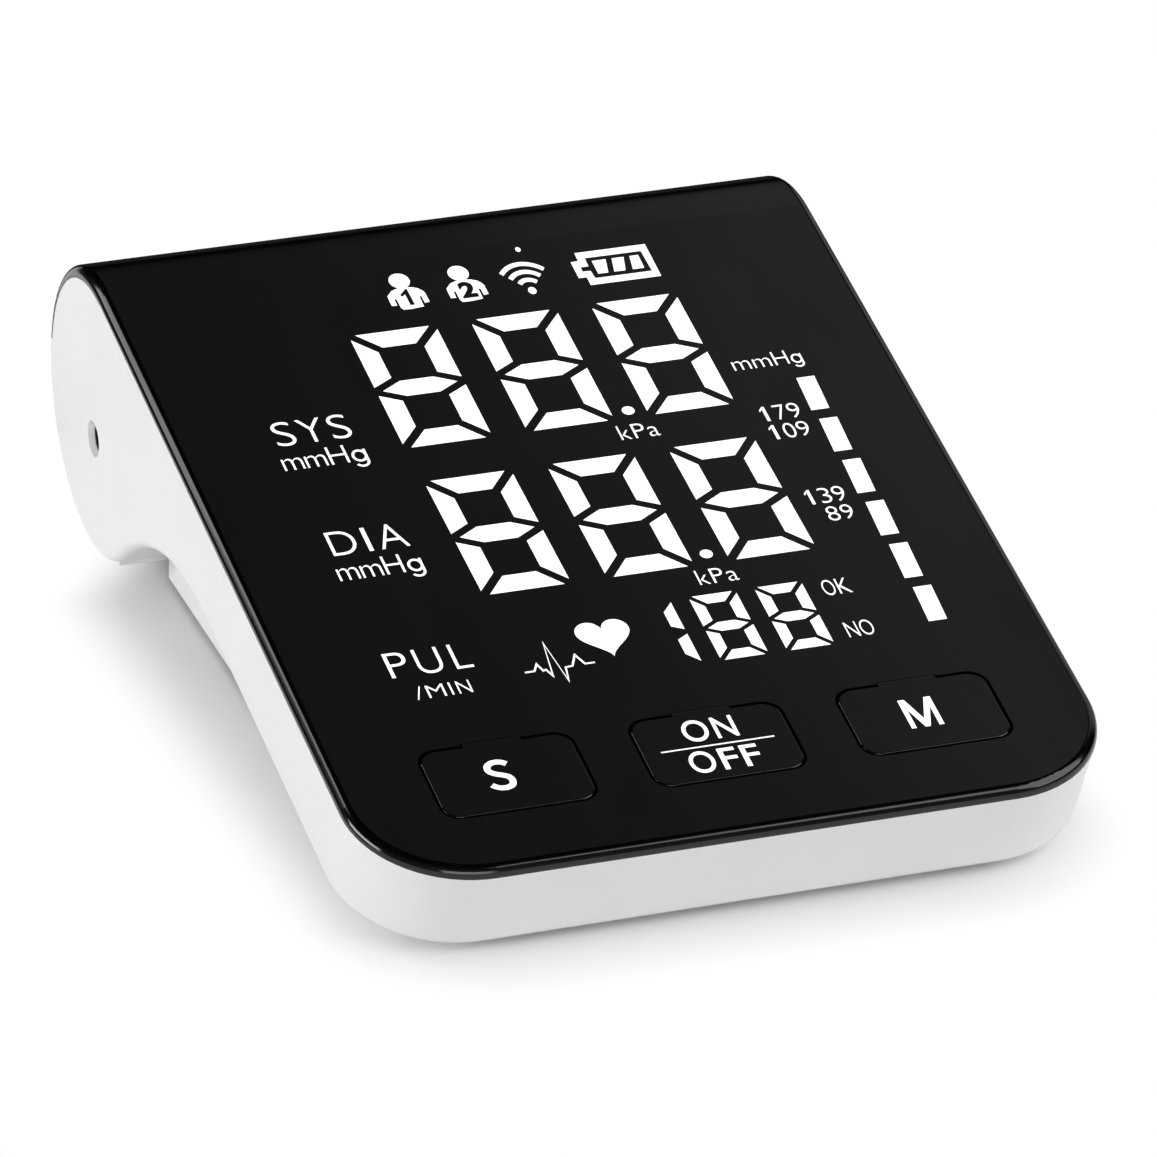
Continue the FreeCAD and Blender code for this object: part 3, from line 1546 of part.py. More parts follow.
def check_document():
    """Stops on any failed object or unsound sub-part."""
    doc.recompute()
    for item in doc.Objects:
        if "Invalid" in item.State or "Error" in item.State:
            raise ValueError(f"{item.Name} failed: {item.State}")
    for label, piece in PIECES.items():
        if piece.Shape.isNull() or not piece.Shape.isValid() or not piece.Shape.Solids:
            raise ValueError(f"{label} is not a sound solid")


def write_parts():
    """Writes each sub-part to its own file."""
    os.makedirs("parts", exist_ok=True)
    for label, piece in PIECES.items():
        piece.Shape.exportStep(f"parts/{label}.step")


build_front_panel()
build_main_case()
build_bottom_cover()
build_keys()
build_switches()
build_board()
build_display()
build_air_line()
build_battery()
build_battery_door()
build_power_inlet()
build_fasteners()
check_document()
write_parts()
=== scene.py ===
import math

import bmesh
import bpy
from mathutils import Matrix, Vector


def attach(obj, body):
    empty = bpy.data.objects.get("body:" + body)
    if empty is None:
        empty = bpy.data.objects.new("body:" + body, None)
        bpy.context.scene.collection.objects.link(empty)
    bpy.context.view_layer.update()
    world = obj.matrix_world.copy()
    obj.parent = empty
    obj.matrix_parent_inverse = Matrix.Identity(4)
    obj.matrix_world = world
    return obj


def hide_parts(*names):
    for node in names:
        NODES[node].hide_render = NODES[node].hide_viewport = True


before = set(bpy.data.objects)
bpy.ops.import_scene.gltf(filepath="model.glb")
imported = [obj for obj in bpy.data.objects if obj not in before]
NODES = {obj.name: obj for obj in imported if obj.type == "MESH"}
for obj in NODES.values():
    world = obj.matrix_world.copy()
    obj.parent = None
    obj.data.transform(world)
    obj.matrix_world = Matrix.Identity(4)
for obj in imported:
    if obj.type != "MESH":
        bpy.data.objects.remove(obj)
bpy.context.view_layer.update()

bl_info = {
    "name": "Pressure Monitor Finish",
    "version": (1, 0, 0),
    "blender": (4, 5, 0),
    "location": "View3D > Sidebar > Monitor",
    "description": "Dresses the packed blood pressure monitor with finishes, display marks and fittings",
    "category": "Object",
}

MM = 0.001
MERGE_GAP = 1e-5
NOISE_LOW, NOISE_HIGH = 0.3, 0.7
KEYS = {"setting": -1, "power": 0, "memory": 1}

# Rows of digits in panel millimetres, from the lower left corner of the first one.
DIGIT_ROWS = {
    "systolic": {
        "left": -20.32, "base": 81.84, "width": 12.0, "height": 24.18, "pitch": 16.85, "lean": 0.0,
        "side_stroke": 2.8, "level_stroke": 3.2, "gap": 0.9,
    },
    "diastolic": {
        "left": -19.72, "base": 50.97, "width": 11.85, "height": 23.68, "pitch": 16.74, "lean": -0.3,
        "side_stroke": 2.75, "level_stroke": 3.2, "gap": 0.9,
    },
    "pulse": {
        "left": -2.99, "base": 32.13, "width": 6.4, "height": 12.85, "pitch": 8.95, "lean": 0.0,
        "side_stroke": 1.53, "level_stroke": 1.72, "gap": 0.5,
    },
}
DIGITS_IN_ROW = 3
RIGHT_STROKES = (4, 6)

# Level bars and decimal dots, in panel millimetres.
LEVEL_BAR = ((0, 0), (2.5, 0), (2.85, 6.9), (0.35, 6.9))
LEVEL_PLACE = (34.8, 33.8)
LEVEL_PITCH = 8.9
LEVEL_COUNT = 6
DECIMAL_DOTS = ((10.95, 83.29), (11.17, 52.85))
DOT_RADIUS = 0.85

# How much bolder letters are than the plain font, on the cover, the keys and the user signs.
COVER_BOLDNESS = -0.014
KEY_BOLDNESS = 0.006
FIGURE_BOLDNESS = 0.05

# Words on the cover: text, left and right of each letter, low and high, in panel millimetres.
COVER_WORDS = {
    "systolic": ("SYS", ((-36.29, -33.6), (-32.77, -29.5), (-28.69, -26.05)), 85.55, 90.46),
    "systolic_unit": (
        "mmHg", ((-36.94, -34.19), (-33.83, -31.04), (-30.61, -28.12), (-27.6, -25.54)), 79.33, 84.15,
    ),
    "diastolic": ("DIA", ((-36.01, -32.43), (-31.2, -30.64), (-29.52, -25.73)), 62.6, 67.34),
    "diastolic_unit": (
        "mmHg", ((-36.71, -33.95), (-33.58, -30.82), (-30.39, -27.93), (-27.38, -25.33)), 56.32, 61.2,
    ),
    "pulse": ("PUL", ((-36.15, -33.41), (-32.29, -29.0), (-27.52, -25.27)), 37.65, 42.5),
    "pulse_unit": (
        "/MIN", ((-34.29, -33.28), (-32.69, -30.4), (-29.66, -29.42), (-28.69, -26.93)), 33.0, 35.45,
    ),
    "pressure_unit": ("mmHg", ((27.68, 30.13), (30.58, 33.0), (33.49, 35.44), (35.86, 37.41)), 87.42, 91.17),
    "systolic_metric": ("kPa", ((8.18, 9.6), (10.13, 11.75), (12.13, 13.59)), 77.5, 80.43),
    "diastolic_metric": ("kPa", ((8.37, 9.8), (10.32, 11.91), (12.35, 13.79)), 46.98, 49.86),
    "high_top": ("179", ((27.94, 28.77), (29.81, 31.34), (31.67, 33.26)), 77.28, 80.33),
    "high_low": ("109", ((27.87, 28.72), (29.7, 31.3), (31.6, 33.2)), 73.38, 76.4),
    "raised_top": ("139", ((27.83, 28.66), (29.66, 31.16), (31.53, 33.13)), 59.48, 62.52),
    "raised_low": ("89", ((29.36, 30.97), (31.35, 32.92)), 55.78, 58.66),
    "cuff_good": ("OK", ((23.58, 25.21), (25.58, 27.25)), 41.45, 44.52),
    "cuff_bad": ("NO", ((23.7, 25.27), (25.62, 27.35)), 32.9, 35.9),
}

# Signs of the two users in panel millimetres: their middles, the outline below the head, and the figures.
USERS = {"1": -10.08, "2": -1.82}
USER_BODY = (
    (-0.75, 114.63), (-1.75, 114.2), (-2.57, 113.25), (-2.62, 112.3), (-2.62, 111.15), (-1.9, 111.08),
    (-1.87, 112.42), (-1.57, 112.47), (-1.55, 110.55), (-1.3, 110.06), (-0.3, 110.0), (1.55, 110.2),
    (1.6, 112.36), (1.88, 112.45), (1.93, 110.92), (2.6, 111.02), (2.6, 112.95), (2.4, 113.5),
    (1.95, 114.1), (1.2, 114.5), (0.65, 114.57),
)
USER_ONE = (
    (-10.22, 110.77), (-9.6, 110.77), (-9.65, 114.22), (-9.91, 114.22), (-10.93, 113.12),
    (-10.74, 112.74), (-10.23, 113.15),
)
USER_TWO = ("2", ((-2.82, -0.62),), 110.68, 114.15)

# Link sign in panel millimetres: the middle of its arcs, their inner and outer radii, and a small oval above.
LINK_PLACE = (6.75, 110.5)
LINK_ARCS = ((1.4, 2.0), (2.65, 3.25), (3.9, 4.5))
LINK_DOT = (7.7, 119.48, 0.35, 0.5)

# Battery sign in panel millimetres: its shell, the room inside it and three bars.
BATTERY_SIGN = (
    (
        (14.9, 117.13), (24.9, 117.13), (24.8, 110.03), (14.85, 110.03), (14.85, 111.78), (13.76, 111.78),
        (13.78, 115.33), (14.85, 115.38),
    ),
    (
        (15.9, 115.83), (23.87, 115.83), (23.95, 111.33), (15.92, 111.33), (15.8, 112.98), (14.7, 113.03),
        (14.7, 114.03), (15.85, 114.03),
    ),
    ((16.63, 112.2), (18.05, 112.2), (18.6, 115.03), (16.66, 115.03)),
    ((18.91, 112.2), (20.49, 112.2), (21.16, 115.03), (19.47, 115.03)),
    ((21.54, 112.2), (23.14, 112.2), (23.22, 115.03), (22.0, 115.03)),
)

# Middle of the heart sign, and the middle line of the pulse trace, in panel millimetres.
HEART_PLACE = (-7.1, 40.0)
TRACE_HALF_WIDTH = 0.13
TRACE = (
    (-19.36, 35.18), (-18.11, 35.18), (-17.41, 36.43), (-16.96, 35.03), (-16.56, 35.18), (-16.06, 33.78),
    (-15.26, 40.28), (-14.41, 32.43), (-13.96, 35.08), (-13.01, 35.18), (-12.06, 37.18), (-11.31, 35.23),
    (-10.01, 35.23),
)

# Marks on the keys, in millimetres from each key's middle and the cover's front edge.
KEY_WORDS = {
    "power": (
        ("ON", ((-3.64, -0.26), (0.53, 3.38)), 17.63, 21.74),
        ("OFF", ((-4.71, -1.37), (-0.56, 1.69), (2.37, 4.63)), 11.69, 15.83),
    ),
}
POWER_RULE = ((-7.54, 16.5), (7.56, 16.5), (7.56, 16.7), (-7.54, 16.7))
LETTER_S_HALF_WIDTH = 0.43
LETTER_S = (
    (0.49, 18.83), (-0.12, 19.26), (-0.82, 19.4), (-1.56, 19.22), (-2.1, 18.66), (-2.1, 17.85),
    (-1.48, 17.25), (-0.66, 16.85), (0.04, 16.4), (0.3, 15.62), (0.06, 14.86), (-0.62, 14.5),
    (-1.43, 14.5), (-2.06, 14.8), (-2.53, 15.25),
)

# Air hole in the left end of the barrel, and the (radius, depth) sections of its rim and lip, in millimetres.
AIR_PORT = (-50, 50.131, 17.7)
PORT_RIM = ((2.47, 0.02), (2.47, 0.83), (2.05, 0.83), (2.05, 0.7))
# The lip is near-black: a rubber lip whose dark colour is also painted shade for the deep part of the hole.
PORT_SHADE_LIP = ((2.47, 0.85), (2.47, 1.9), (2.05, 1.9), (2.05, 0.97), (2.17, 0.85))

# Fittings under the base, in millimetres: (x, y) places and (radius, height) profiles.
BASE_FACE = 0.8
SCREW_PLACES = ((28, -54.031), (-28, -54.031), (37, 42.231), (-37, 42.231))
SCREW_PROFILE = (
    (0, 0), (1.3, 0.03), (1.8, 0.16), (2.05, 0.42), (2.1, 1.0), (1.1, 1.0), (1.1, 5.1), (0, 5.1),
)
FOOT_PLACES = ((31, -47.231), (-31, -47.231), (31, 37.231), (-31, 37.231))
FOOT_PROFILE = (
    (0, 0.25), (1.6, 0.25), (1.9, 0.0), (3.5, 0.0), (3.85, 0.12), (4.0, 0.5), (4.0, 1.4), (0, 1.4),
)
RIB_PLACES = tuple((6, 24.4 + 1.3 * step) for step in range(5))
DOOR_ARROW = ((6, 21.0), (3.4, 17.2), (4.9, 17.2), (4.9, 12.6), (7.1, 12.6), (7.1, 17.2), (8.6, 17.2))
ARROW_FOOT = 0.55
ARROW_HEIGHT = 0.3
CELL_SPAN = (-18.53, 29.37)

# Moulded finishes inside: colour, lowest and highest roughness, scale and depth of the grain, and the nodes.
INNER_MOULDED = {
    "sleeve_rubber": ((0.05, 0.05, 0.05), (0.6, 0.75), 1500, 8e-6, ("pump_sleeves",)),
    "soft_tube": (
        (0.75, 0.76, 0.76), (0.4, 0.5), 900, 3e-6, ("socket_tube", "pump_tube", "valve_tube", "sensor_tube"),
    ),
    "reflector_white": ((0.85, 0.85, 0.84), (0.5, 0.6), 1500, 4e-6, ("display_reflector",)),
    "diffuser_milk": ((0.8, 0.8, 0.8), (0.5, 0.6), 1500, 2e-6, ("display_diffuser",)),
    "dice_resin": ((0.9, 0.88, 0.7), (0.2, 0.3), 3000, 2e-6, ("display_lights",)),
    "dark_resin": (
        (0.03, 0.03, 0.03), (0.5, 0.65), 3000, 6e-6,
        ("control_chip", "buzzer", "setting_switch", "power_switch", "memory_switch"),
    ),
    "plunger_white": (
        (0.7, 0.7, 0.68), (0.35, 0.45), 2500, 3e-6, ("setting_plunger", "power_plunger", "memory_plunger"),
    ),
    "air_grey": ((0.55, 0.56, 0.57), (0.4, 0.5), 1800, 4e-6, ("air_manifold", "pressure_sensor")),
    "pump_black": ((0.06, 0.06, 0.065), (0.4, 0.5), 1800, 5e-6, ("pump_head",)),
}

# Plated finishes inside: colour, lowest and highest roughness, scale of the streaks, and the nodes.
INNER_PLATED = {
    "valve_plate": ((0.55, 0.55, 0.56), (0.3, 0.4), 3000, ("exhaust_valve",)),
    "motor_steel": ((0.6, 0.6, 0.6), (0.25, 0.35), 2500, ("pump_motor",)),
    "contact_nickel": ((0.68, 0.68, 0.66), (0.2, 0.3), 3000, ("battery_springs", "battery_plates")),
    "inlet_nickel": ((0.66, 0.66, 0.67), (0.2, 0.3), 3000, ("power_socket",)),
}

# Floor and dark sheets in metres: each sheet's left, right, near and far.
FLOOR_AREA = (-12.0, 12.0, -12.0, 12.0)
FLAG_AREAS = ((-6.0, -0.1, -0.05, 12.0), (-0.055, 6.0, 0.085, 12.0))
FLAG_HEIGHT = 3e-4

# Rounded area of the floor that keeps the shadow, in metres: it tapers, and is narrower by the barrel.
SHADOW_HALF_WIDTH = 0.0415
SHADOW_HALF_DEPTH = 0.062
SHADOW_ROUNDING = 0.009
SHADOW_TAPER = 0.05
SHADOW_WAIST = 0.012
SHADOW_WAIST_SPAN = (0.035, 0.055)
SHADOW_FADE = (0.0, 0.018)

# Softboxes: place in metres, width, height and power. All face one spot.
LAMP_AIM = (0.0, 0.0, 0.02)
SOFTBOXES = {
    "right_softbox": ((0.95, -0.55, 0.9), 1.2, 1.2, 12.4),
    "left_softbox": ((-1.2, 0.2, 0.2), 0.8, 0.4, 8.6),
    "front_softbox": ((-0.2, -1.25, 0.3), 0.8, 0.5, 4.9),
    "rim_softbox": ((-0.88, 1.06, 0.72), 0.3, 1.1, 3.4),
}

# Studio surround by direction: the brightness of its parts, and where each one starts and ends.
FRONT_WAY = (-0.25, -0.8, -0.55)
FRONT_SPAN = (-0.4, 0.6)
FRONT_LEVEL = 0.14
CEILING_LEVEL = 0.12
CEILING_SIDES = ((0.12, 0.22), (0.42, 0.37))
CEILING_RISE = (0.08, 0.22)
PALER_LEVEL = 0.3
PALER_SPAN = (0.6, 0.632)
PALER_LEAN = 0.52
PALER_LEAN_END = 0.6
SIDE_LEVEL = 0.5
SIDE_SPAN = (0.46, 0.54)
SIDE_RISE = (0.05, 0.15)
BACK_SPAN = (0.35, 0.5)

# Camera: lens and sensor in millimetres, place in metres, and its right, up and back directions.
CAMERA_LENS = 285.05
CAMERA_SENSOR = 36.0
CAMERA_FAR_CLIP = 50.0
CAMERA_PLACE = (-0.36199, -0.99831, 0.56488)
CAMERA_AXES = ((0.94335, -0.33109, 0.02163), (0.13441, 0.44091, 0.88743), (-0.30335, -0.83425, 0.46044))


class PanelPlace(bpy.types.PropertyGroup):
    """Where the sloped cover lies"""

    slope: bpy.props.FloatProperty(
        name="Slope", description="Tilt of the cover", default=math.radians(12.25737), subtype="ANGLE"
    )
    front_y: bpy.props.FloatProperty(
        name="Front edge", description="Depth of the cover's front edge", default=-71.2312 * MM, unit="LENGTH"
    )
    front_z: bpy.props.FloatProperty(
        name="Front height",
        description="Height of the cover's underside at the front edge",
        default=13.1259 * MM,
        unit="LENGTH",
    )
    cover: bpy.props.FloatProperty(
        name="Cover thickness", description="Thickness of the cover", default=1.5 * MM, unit="LENGTH"
    )
    mark_height: bpy.props.FloatProperty(
        name="Mark height", description="How far marks stand off the cover", default=0.03 * MM, unit="LENGTH"
    )
    key_pitch: bpy.props.FloatProperty(
        name="Key pitch", description="Distance between neighbouring keys", default=27.8 * MM, unit="LENGTH"
    )


class Finishes(bpy.types.PropertyGroup):
    """Colours that a user would change"""

    case_white: bpy.props.FloatVectorProperty(
        name="Case", description="White moulded case", default=(0.86, 0.862, 0.868), subtype="COLOR"
    )
    cover_black: bpy.props.FloatVectorProperty(
        name="Cover", description="Smoked black cover", default=(0.0018, 0.0018, 0.0019), subtype="COLOR"
    )
    lit_white: bpy.props.FloatVectorProperty(
        name="Lit marks", description="Light of the display", default=(1.0, 1.0, 1.0), subtype="COLOR"
    )
    cell_blue: bpy.props.FloatVectorProperty(
        name="Cell wrap", description="Wrap of the battery cells", default=(0.1, 0.25, 0.5), subtype="COLOR"
    )
    floor_white: bpy.props.FloatVectorProperty(
        name="Floor", description="Pale studio floor", default=(0.9, 0.9, 0.9), subtype="COLOR"
    )


class MonitorSettings(bpy.types.PropertyGroup):
    """All settings of the monitor"""

    place: bpy.props.PointerProperty(type=PanelPlace)
    finishes: bpy.props.PointerProperty(type=Finishes)


def settings():
    """The scene's own settings."""
    return bpy.context.scene.monitor


def panel_matrix(lift):
    """Turns panel millimetres (x, s, height over the cover) into the row frame."""
    place = settings().place
    turn = Matrix.Rotation(place.slope, 4, "X")
    up = turn @ Vector((0, 0, place.cover + lift))
    shift = Matrix.Translation(Vector((0, place.front_y, place.front_z)) + up)
    return shift @ turn @ Matrix.Scale(MM, 4)


def new_object(name, data):
    """Puts a mesh or curve in the scene under its name."""
    data.name = name
    item = bpy.data.objects.new(name, data)
    bpy.context.scene.collection.objects.link(item)
    return item


def closed_mesh(item):
    """The evaluated shape of an object as its own closed mesh; the object is removed."""
    bpy.context.view_layer.update()
    graph = bpy.context.evaluated_depsgraph_get()
    mesh = bpy.data.meshes.new_from_object(item.evaluated_get(graph))
    shape = bmesh.new()
    shape.from_mesh(mesh)
    bmesh.ops.remove_doubles(shape, verts=shape.verts, dist=MERGE_GAP)
    bmesh.ops.recalc_face_normals(shape, faces=shape.faces)
    shape.to_mesh(mesh)
    shape.free()
    drop(item)
    return mesh


def drop(item):
    """Removes a working object and its data."""
    data = item.data
    bpy.data.objects.remove(item)
    if isinstance(data, bpy.types.Mesh):
        bpy.data.meshes.remove(data)
    else:
        bpy.data.curves.remove(data)


def plate(loops):
    """Flat plate of unit height from closed loops, with inner loops as holes."""
    curve = bpy.data.curves.new("loops", "CURVE")
    curve.dimensions = "2D"
    curve.fill_mode = "BOTH"
    curve.extrude = 0.5
    for loop in loops:
        spline = curve.splines.new("POLY")
        spline.points.add(len(loop) - 1)
        for point, (u, v) in zip(spline.points, loop):
            point.co = (u, v, 0, 1)
        spline.use_cyclic_u = True
    mesh = closed_mesh(new_object("loops", curve))
    mesh.transform(Matrix.Translation((0, 0, 0.5)))
    return mesh


def letter(sign, bolder):
    """One letter standing on its base line, as a plate of unit height."""
    curve = bpy.data.curves.new("letter", "FONT")
    curve.body = sign
    curve.offset = bolder
    curve.extrude = 0.5
    curve.resolution_u = 6
    mesh = closed_mesh(new_object("letter", curve))
    mesh.transform(Matrix.Translation((0, 0, 0.5)))
    own = {"1": figure_one, "g": letter_g}.get(sign)
    if own is None:
        return mesh
    low, high = reach(mesh, 1)
    bpy.data.meshes.remove(mesh)
    drawn = plate(own())
    drawn.transform(Matrix.Translation((0, low, 0)) @ Matrix.Diagonal((1, high - low, 1, 1)))
    return drawn


def reach(mesh, axis):
    """Lowest and highest place of a mesh along an axis."""
    places = [vertex.co[axis] for vertex in mesh.vertices]
    return min(places), max(places)


def figure_one():
    """Outline of a plain 1 with a short flag, in a unit square."""
    return [[(0.5, 0), (1, 0), (1, 1), (0.64, 1), (0, 0.8), (0, 0.67), (0.5, 0.84)]]


def letter_g():
    """Outline of a g with one round bowl and a hooked tail, in a unit square."""
    stroke, rim = 0.17, 0.1
    base = 0.31
    low = 0.3
    mid = 0.5
    centre = (1 + base) / 2
    turns = [math.radians(step) for step in range(0, -151, -15)]
    tail = arc(mid, low, mid, low, turns)
    hook = arc(mid, low, mid - stroke, low - rim, turns[::-1])
    bowl = arc(mid, centre, mid, 1 - centre, [math.radians(step) for step in range(-50, -311, -10)])
    outer = [(1, 1), *tail, *hook, *bowl, (1 - stroke, 1)]
    return [outer, oval(mid, centre, mid - stroke, 1 - centre - rim)]


def word(text, spans, low, high, bolder):
    """Letters as a plate of unit height: each fills its own span, and all of them fill the height."""
    meshes = [letter(sign, bolder) for sign in text]
    heights = [reach(mesh, 1) for mesh in meshes]
    foot = min(pair[0] for pair in heights)
    scale = (high - low) / (max(pair[1] for pair in heights) - foot)
    for mesh, (left, right) in zip(meshes, spans):
        start, stop = reach(mesh, 0)
        fit = Matrix.Diagonal(((right - left) / (stop - start), scale, 1, 1))
        mesh.transform(Matrix.Translation((left, low, 0)) @ fit @ Matrix.Translation((-start, -foot, 0)))
    return joined(meshes)


def joined(meshes):
    """One mesh from several, which are removed."""
    shape = bmesh.new()
    for mesh in meshes:
        shape.from_mesh(mesh)
        bpy.data.meshes.remove(mesh)
    result = bpy.data.meshes.new("joined")
    shape.to_mesh(result)
    shape.free()
    return result


def on_cover(mesh, lift=0.0):
    """Lays a plate of unit height on the cover."""
    height = settings().place.mark_height / MM
    mesh.transform(panel_matrix(lift) @ Matrix.Diagonal((1, 1, height, 1)))
    return mesh


def arc(u, v, radius_u, radius_v, turns):
    """Points of an oval at the given turns."""
    return [(u + radius_u * math.cos(turn), v + radius_v * math.sin(turn)) for turn in turns]


def oval(u, v, radius_u, radius_v, count=40):
    """Points of a closed oval."""
    return arc(u, v, radius_u, radius_v, [2 * math.pi * step / count for step in range(count)])


def outward_mesh(shape, name):
    """A mesh whose faces point outwards, from working geometry that is freed."""
    bmesh.ops.recalc_face_normals(shape, faces=shape.faces)
    mesh = bpy.data.meshes.new(name)
    shape.to_mesh(mesh)
    shape.free()
    return mesh


def turned(profile, count=48, ring=False):
    """Round solid from (radius, height) points that start and end on its axis, or run around a ring."""
    shape = bmesh.new()
    levels = []
    for radius, height in profile:
        points = oval(0, 0, radius, radius, count) if radius else [(0, 0)]
        levels.append([shape.verts.new((u, v, height)) for u, v in points])
    following = levels[1:] + levels[:1] if ring else levels[1:]
    for lower, upper in zip(levels, following):
        for step in range(count):
            after = (step + 1) % count
            corners = [lower[step % len(lower)], lower[after % len(lower)]]
            corners += [upper[after % len(upper)], upper[step % len(upper)]]
            shape.faces.new(list(dict.fromkeys(corners)))
    return outward_mesh(shape, "turned")


def node_material(name):
    """A node material with its shader and its object coordinates."""
    material = bpy.data.materials.new(name)
    material.use_nodes = True
    tree = material.node_tree
    spot = tree.nodes.new("ShaderNodeTexCoord").outputs["Object"]
    return material, tree, tree.nodes["Principled BSDF"], spot


def noise(tree, spot, scale, detail=3.0):
    """Noise factor at a scale in turns per metre."""
    node = tree.nodes.new("ShaderNodeTexNoise")
    node.inputs["Scale"].default_value = scale
    node.inputs["Detail"].default_value = detail
    tree.links.new(spot, node.inputs["Vector"])
    return node.outputs["Fac"]


def stretched(tree, spot, scale, turn=0.0):
    """Coordinates stretched, and turned about z, for drawn or wiped streaks."""
    node = tree.nodes.new("ShaderNodeMapping")
    node.inputs["Scale"].default_value = scale
    node.inputs["Rotation"].default_value = (0, 0, turn)
    tree.links.new(spot, node.inputs["Vector"])
    return node.outputs["Vector"]


def mapped(tree, value, low, high, start=0.0, stop=1.0, soft=False):
    """Maps the range from low to high onto start to stop, softly at its ends if asked."""
    node = tree.nodes.new("ShaderNodeMapRange")
    if soft:
        node.interpolation_type = "SMOOTHSTEP"
    for name, number in (("From Min", low), ("From Max", high), ("To Min", start), ("To Max", stop)):
        node.inputs[name].default_value = number
    tree.links.new(value, node.inputs["Value"])
    return node.outputs["Result"]


def spread(tree, factor, low, high):
    """Spreads a noise factor between two values."""
    return mapped(tree, factor, NOISE_LOW, NOISE_HIGH, low, high)


def smooth_step(tree, value, low, high):
    """Rises softly from 0 to 1 between two values."""
    return mapped(tree, value, low, high, soft=True)


def split_axes(tree, vector):
    """The three parts of a vector."""
    node = tree.nodes.new("ShaderNodeSeparateXYZ")
    tree.links.new(vector, node.inputs[0])
    return tuple(node.outputs)


def calculated(tree, operation, first, second=0.0):
    """Result of a sum on two values, each a socket or a number."""
    node = tree.nodes.new("ShaderNodeMath")
    node.operation = operation
    for value, socket in ((first, node.inputs[0]), (second, node.inputs[1])):
        if isinstance(value, float):
            socket.default_value = value
        else:
            tree.links.new(value, socket)
    return node.outputs[0]


def times(tree, first, second):
    """Product of two values, each a socket or a number."""
    return calculated(tree, "MULTIPLY", first, second)


def ramp(tree, factor, stops, steps=False):
    """Colour by a factor, from (position, colour) stops."""
    node = tree.nodes.new("ShaderNodeValToRGB")
    elements = node.color_ramp.elements
    if steps:
        node.color_ramp.interpolation = "CONSTANT"
    while len(elements) < len(stops):
        elements.new(1.0)
    for element, (position, colour) in zip(elements, stops):
        element.position = position
        element.color = (*colour, 1)
    tree.links.new(factor, node.inputs["Fac"])
    return node.outputs["Color"]


def drifting(tree, factor, colour, change):
    """Colour that drifts a little with a noise factor."""
    darker = [channel * (1 - change) for channel in colour]
    paler = [min(channel * (1 + change), 1) for channel in colour]
    return ramp(tree, factor, ((NOISE_LOW, darker), (NOISE_HIGH, paler)))


def bump(tree, factor, depth, shader):
    """Bump from a factor, with its depth in metres."""
    node = tree.nodes.new("ShaderNodeBump")
    node.inputs["Distance"].default_value = depth
    tree.links.new(factor, node.inputs["Height"])
    tree.links.new(node.outputs["Normal"], shader.inputs["Normal"])


def moulded(name, colour, rough, grain, depth, change=0.015, drift=60):
    """Moulded plastic or rubber: slow colour drift, uneven gloss and a fine grain."""
    material, tree, shader, spot = node_material(name)
    tree.links.new(drifting(tree, noise(tree, spot, drift), colour, change), shader.inputs["Base Color"])
    fine = noise(tree, spot, grain, detail=2.0)
    tree.links.new(spread(tree, fine, *rough), shader.inputs["Roughness"])
    bump(tree, fine, depth, shader)
    return material


def plated(name, colour, rough, grain):
    """Plated metal with drawn streaks along x."""
    material, tree, shader, spot = node_material(name)
    shader.inputs["Metallic"].default_value = 1.0
    streaks = noise(tree, stretched(tree, spot, (0.05, 1, 1)), grain)
    tree.links.new(drifting(tree, streaks, colour, 0.06), shader.inputs["Base Color"])
    tree.links.new(spread(tree, streaks, *rough), shader.inputs["Roughness"])
    bump(tree, streaks, 2e-6, shader)
    return material


def lit_film(name, colour):
    """Lit mark: bright film with slightly uneven light."""
    material, tree, shader, spot = node_material(name)
    shader.inputs["Base Color"].default_value = (0.8, 0.8, 0.8, 1)
    shader.inputs["Roughness"].default_value = 0.5
    shader.inputs["Specular IOR Level"].default_value = 0.1
    shader.inputs["Emission Strength"].default_value = 0.9
    tree.links.new(drifting(tree, noise(tree, spot, 180), colour, 0.04), shader.inputs["Emission Color"])
    return material


def smoked(name, colour):
    """Polished smoked plastic with faint wipe marks in its gloss."""
    material, tree, shader, spot = node_material(name)
    tree.links.new(drifting(tree, noise(tree, spot, 25), colour, 0.1), shader.inputs["Base Color"])
    wipes = noise(tree, stretched(tree, spot, (1, 0.15, 1), math.radians(35)), 120)
    tree.links.new(spread(tree, wipes, 0.1, 0.15), shader.inputs["Roughness"])
    return material


def cell_wrap(name, colour):
    """Plain wrap with a pale band and bare metal ends, by the place along the cell."""
    material, tree, shader, spot = node_material(name)
    start, stop = CELL_SPAN
    along = mapped(tree, split_axes(tree, spot)[1], start * MM, stop * MM)
    bare = (0.7, 0.69, 0.66)
    band = (0.75, 0.77, 0.8)
    stops = ((0.0, bare), (0.08, band), (0.2, colour), (0.8, band), (0.92, bare))
    tree.links.new(ramp(tree, along, stops, steps=True), shader.inputs["Base Color"])
    metal = ((0.0, (1, 1, 1)), (0.08, (0, 0, 0)), (0.92, (1, 1, 1)))
    tree.links.new(ramp(tree, along, metal, steps=True), shader.inputs["Metallic"])
    tree.links.new(spread(tree, noise(tree, spot, 600), 0.22, 0.32), shader.inputs["Roughness"])
    return material


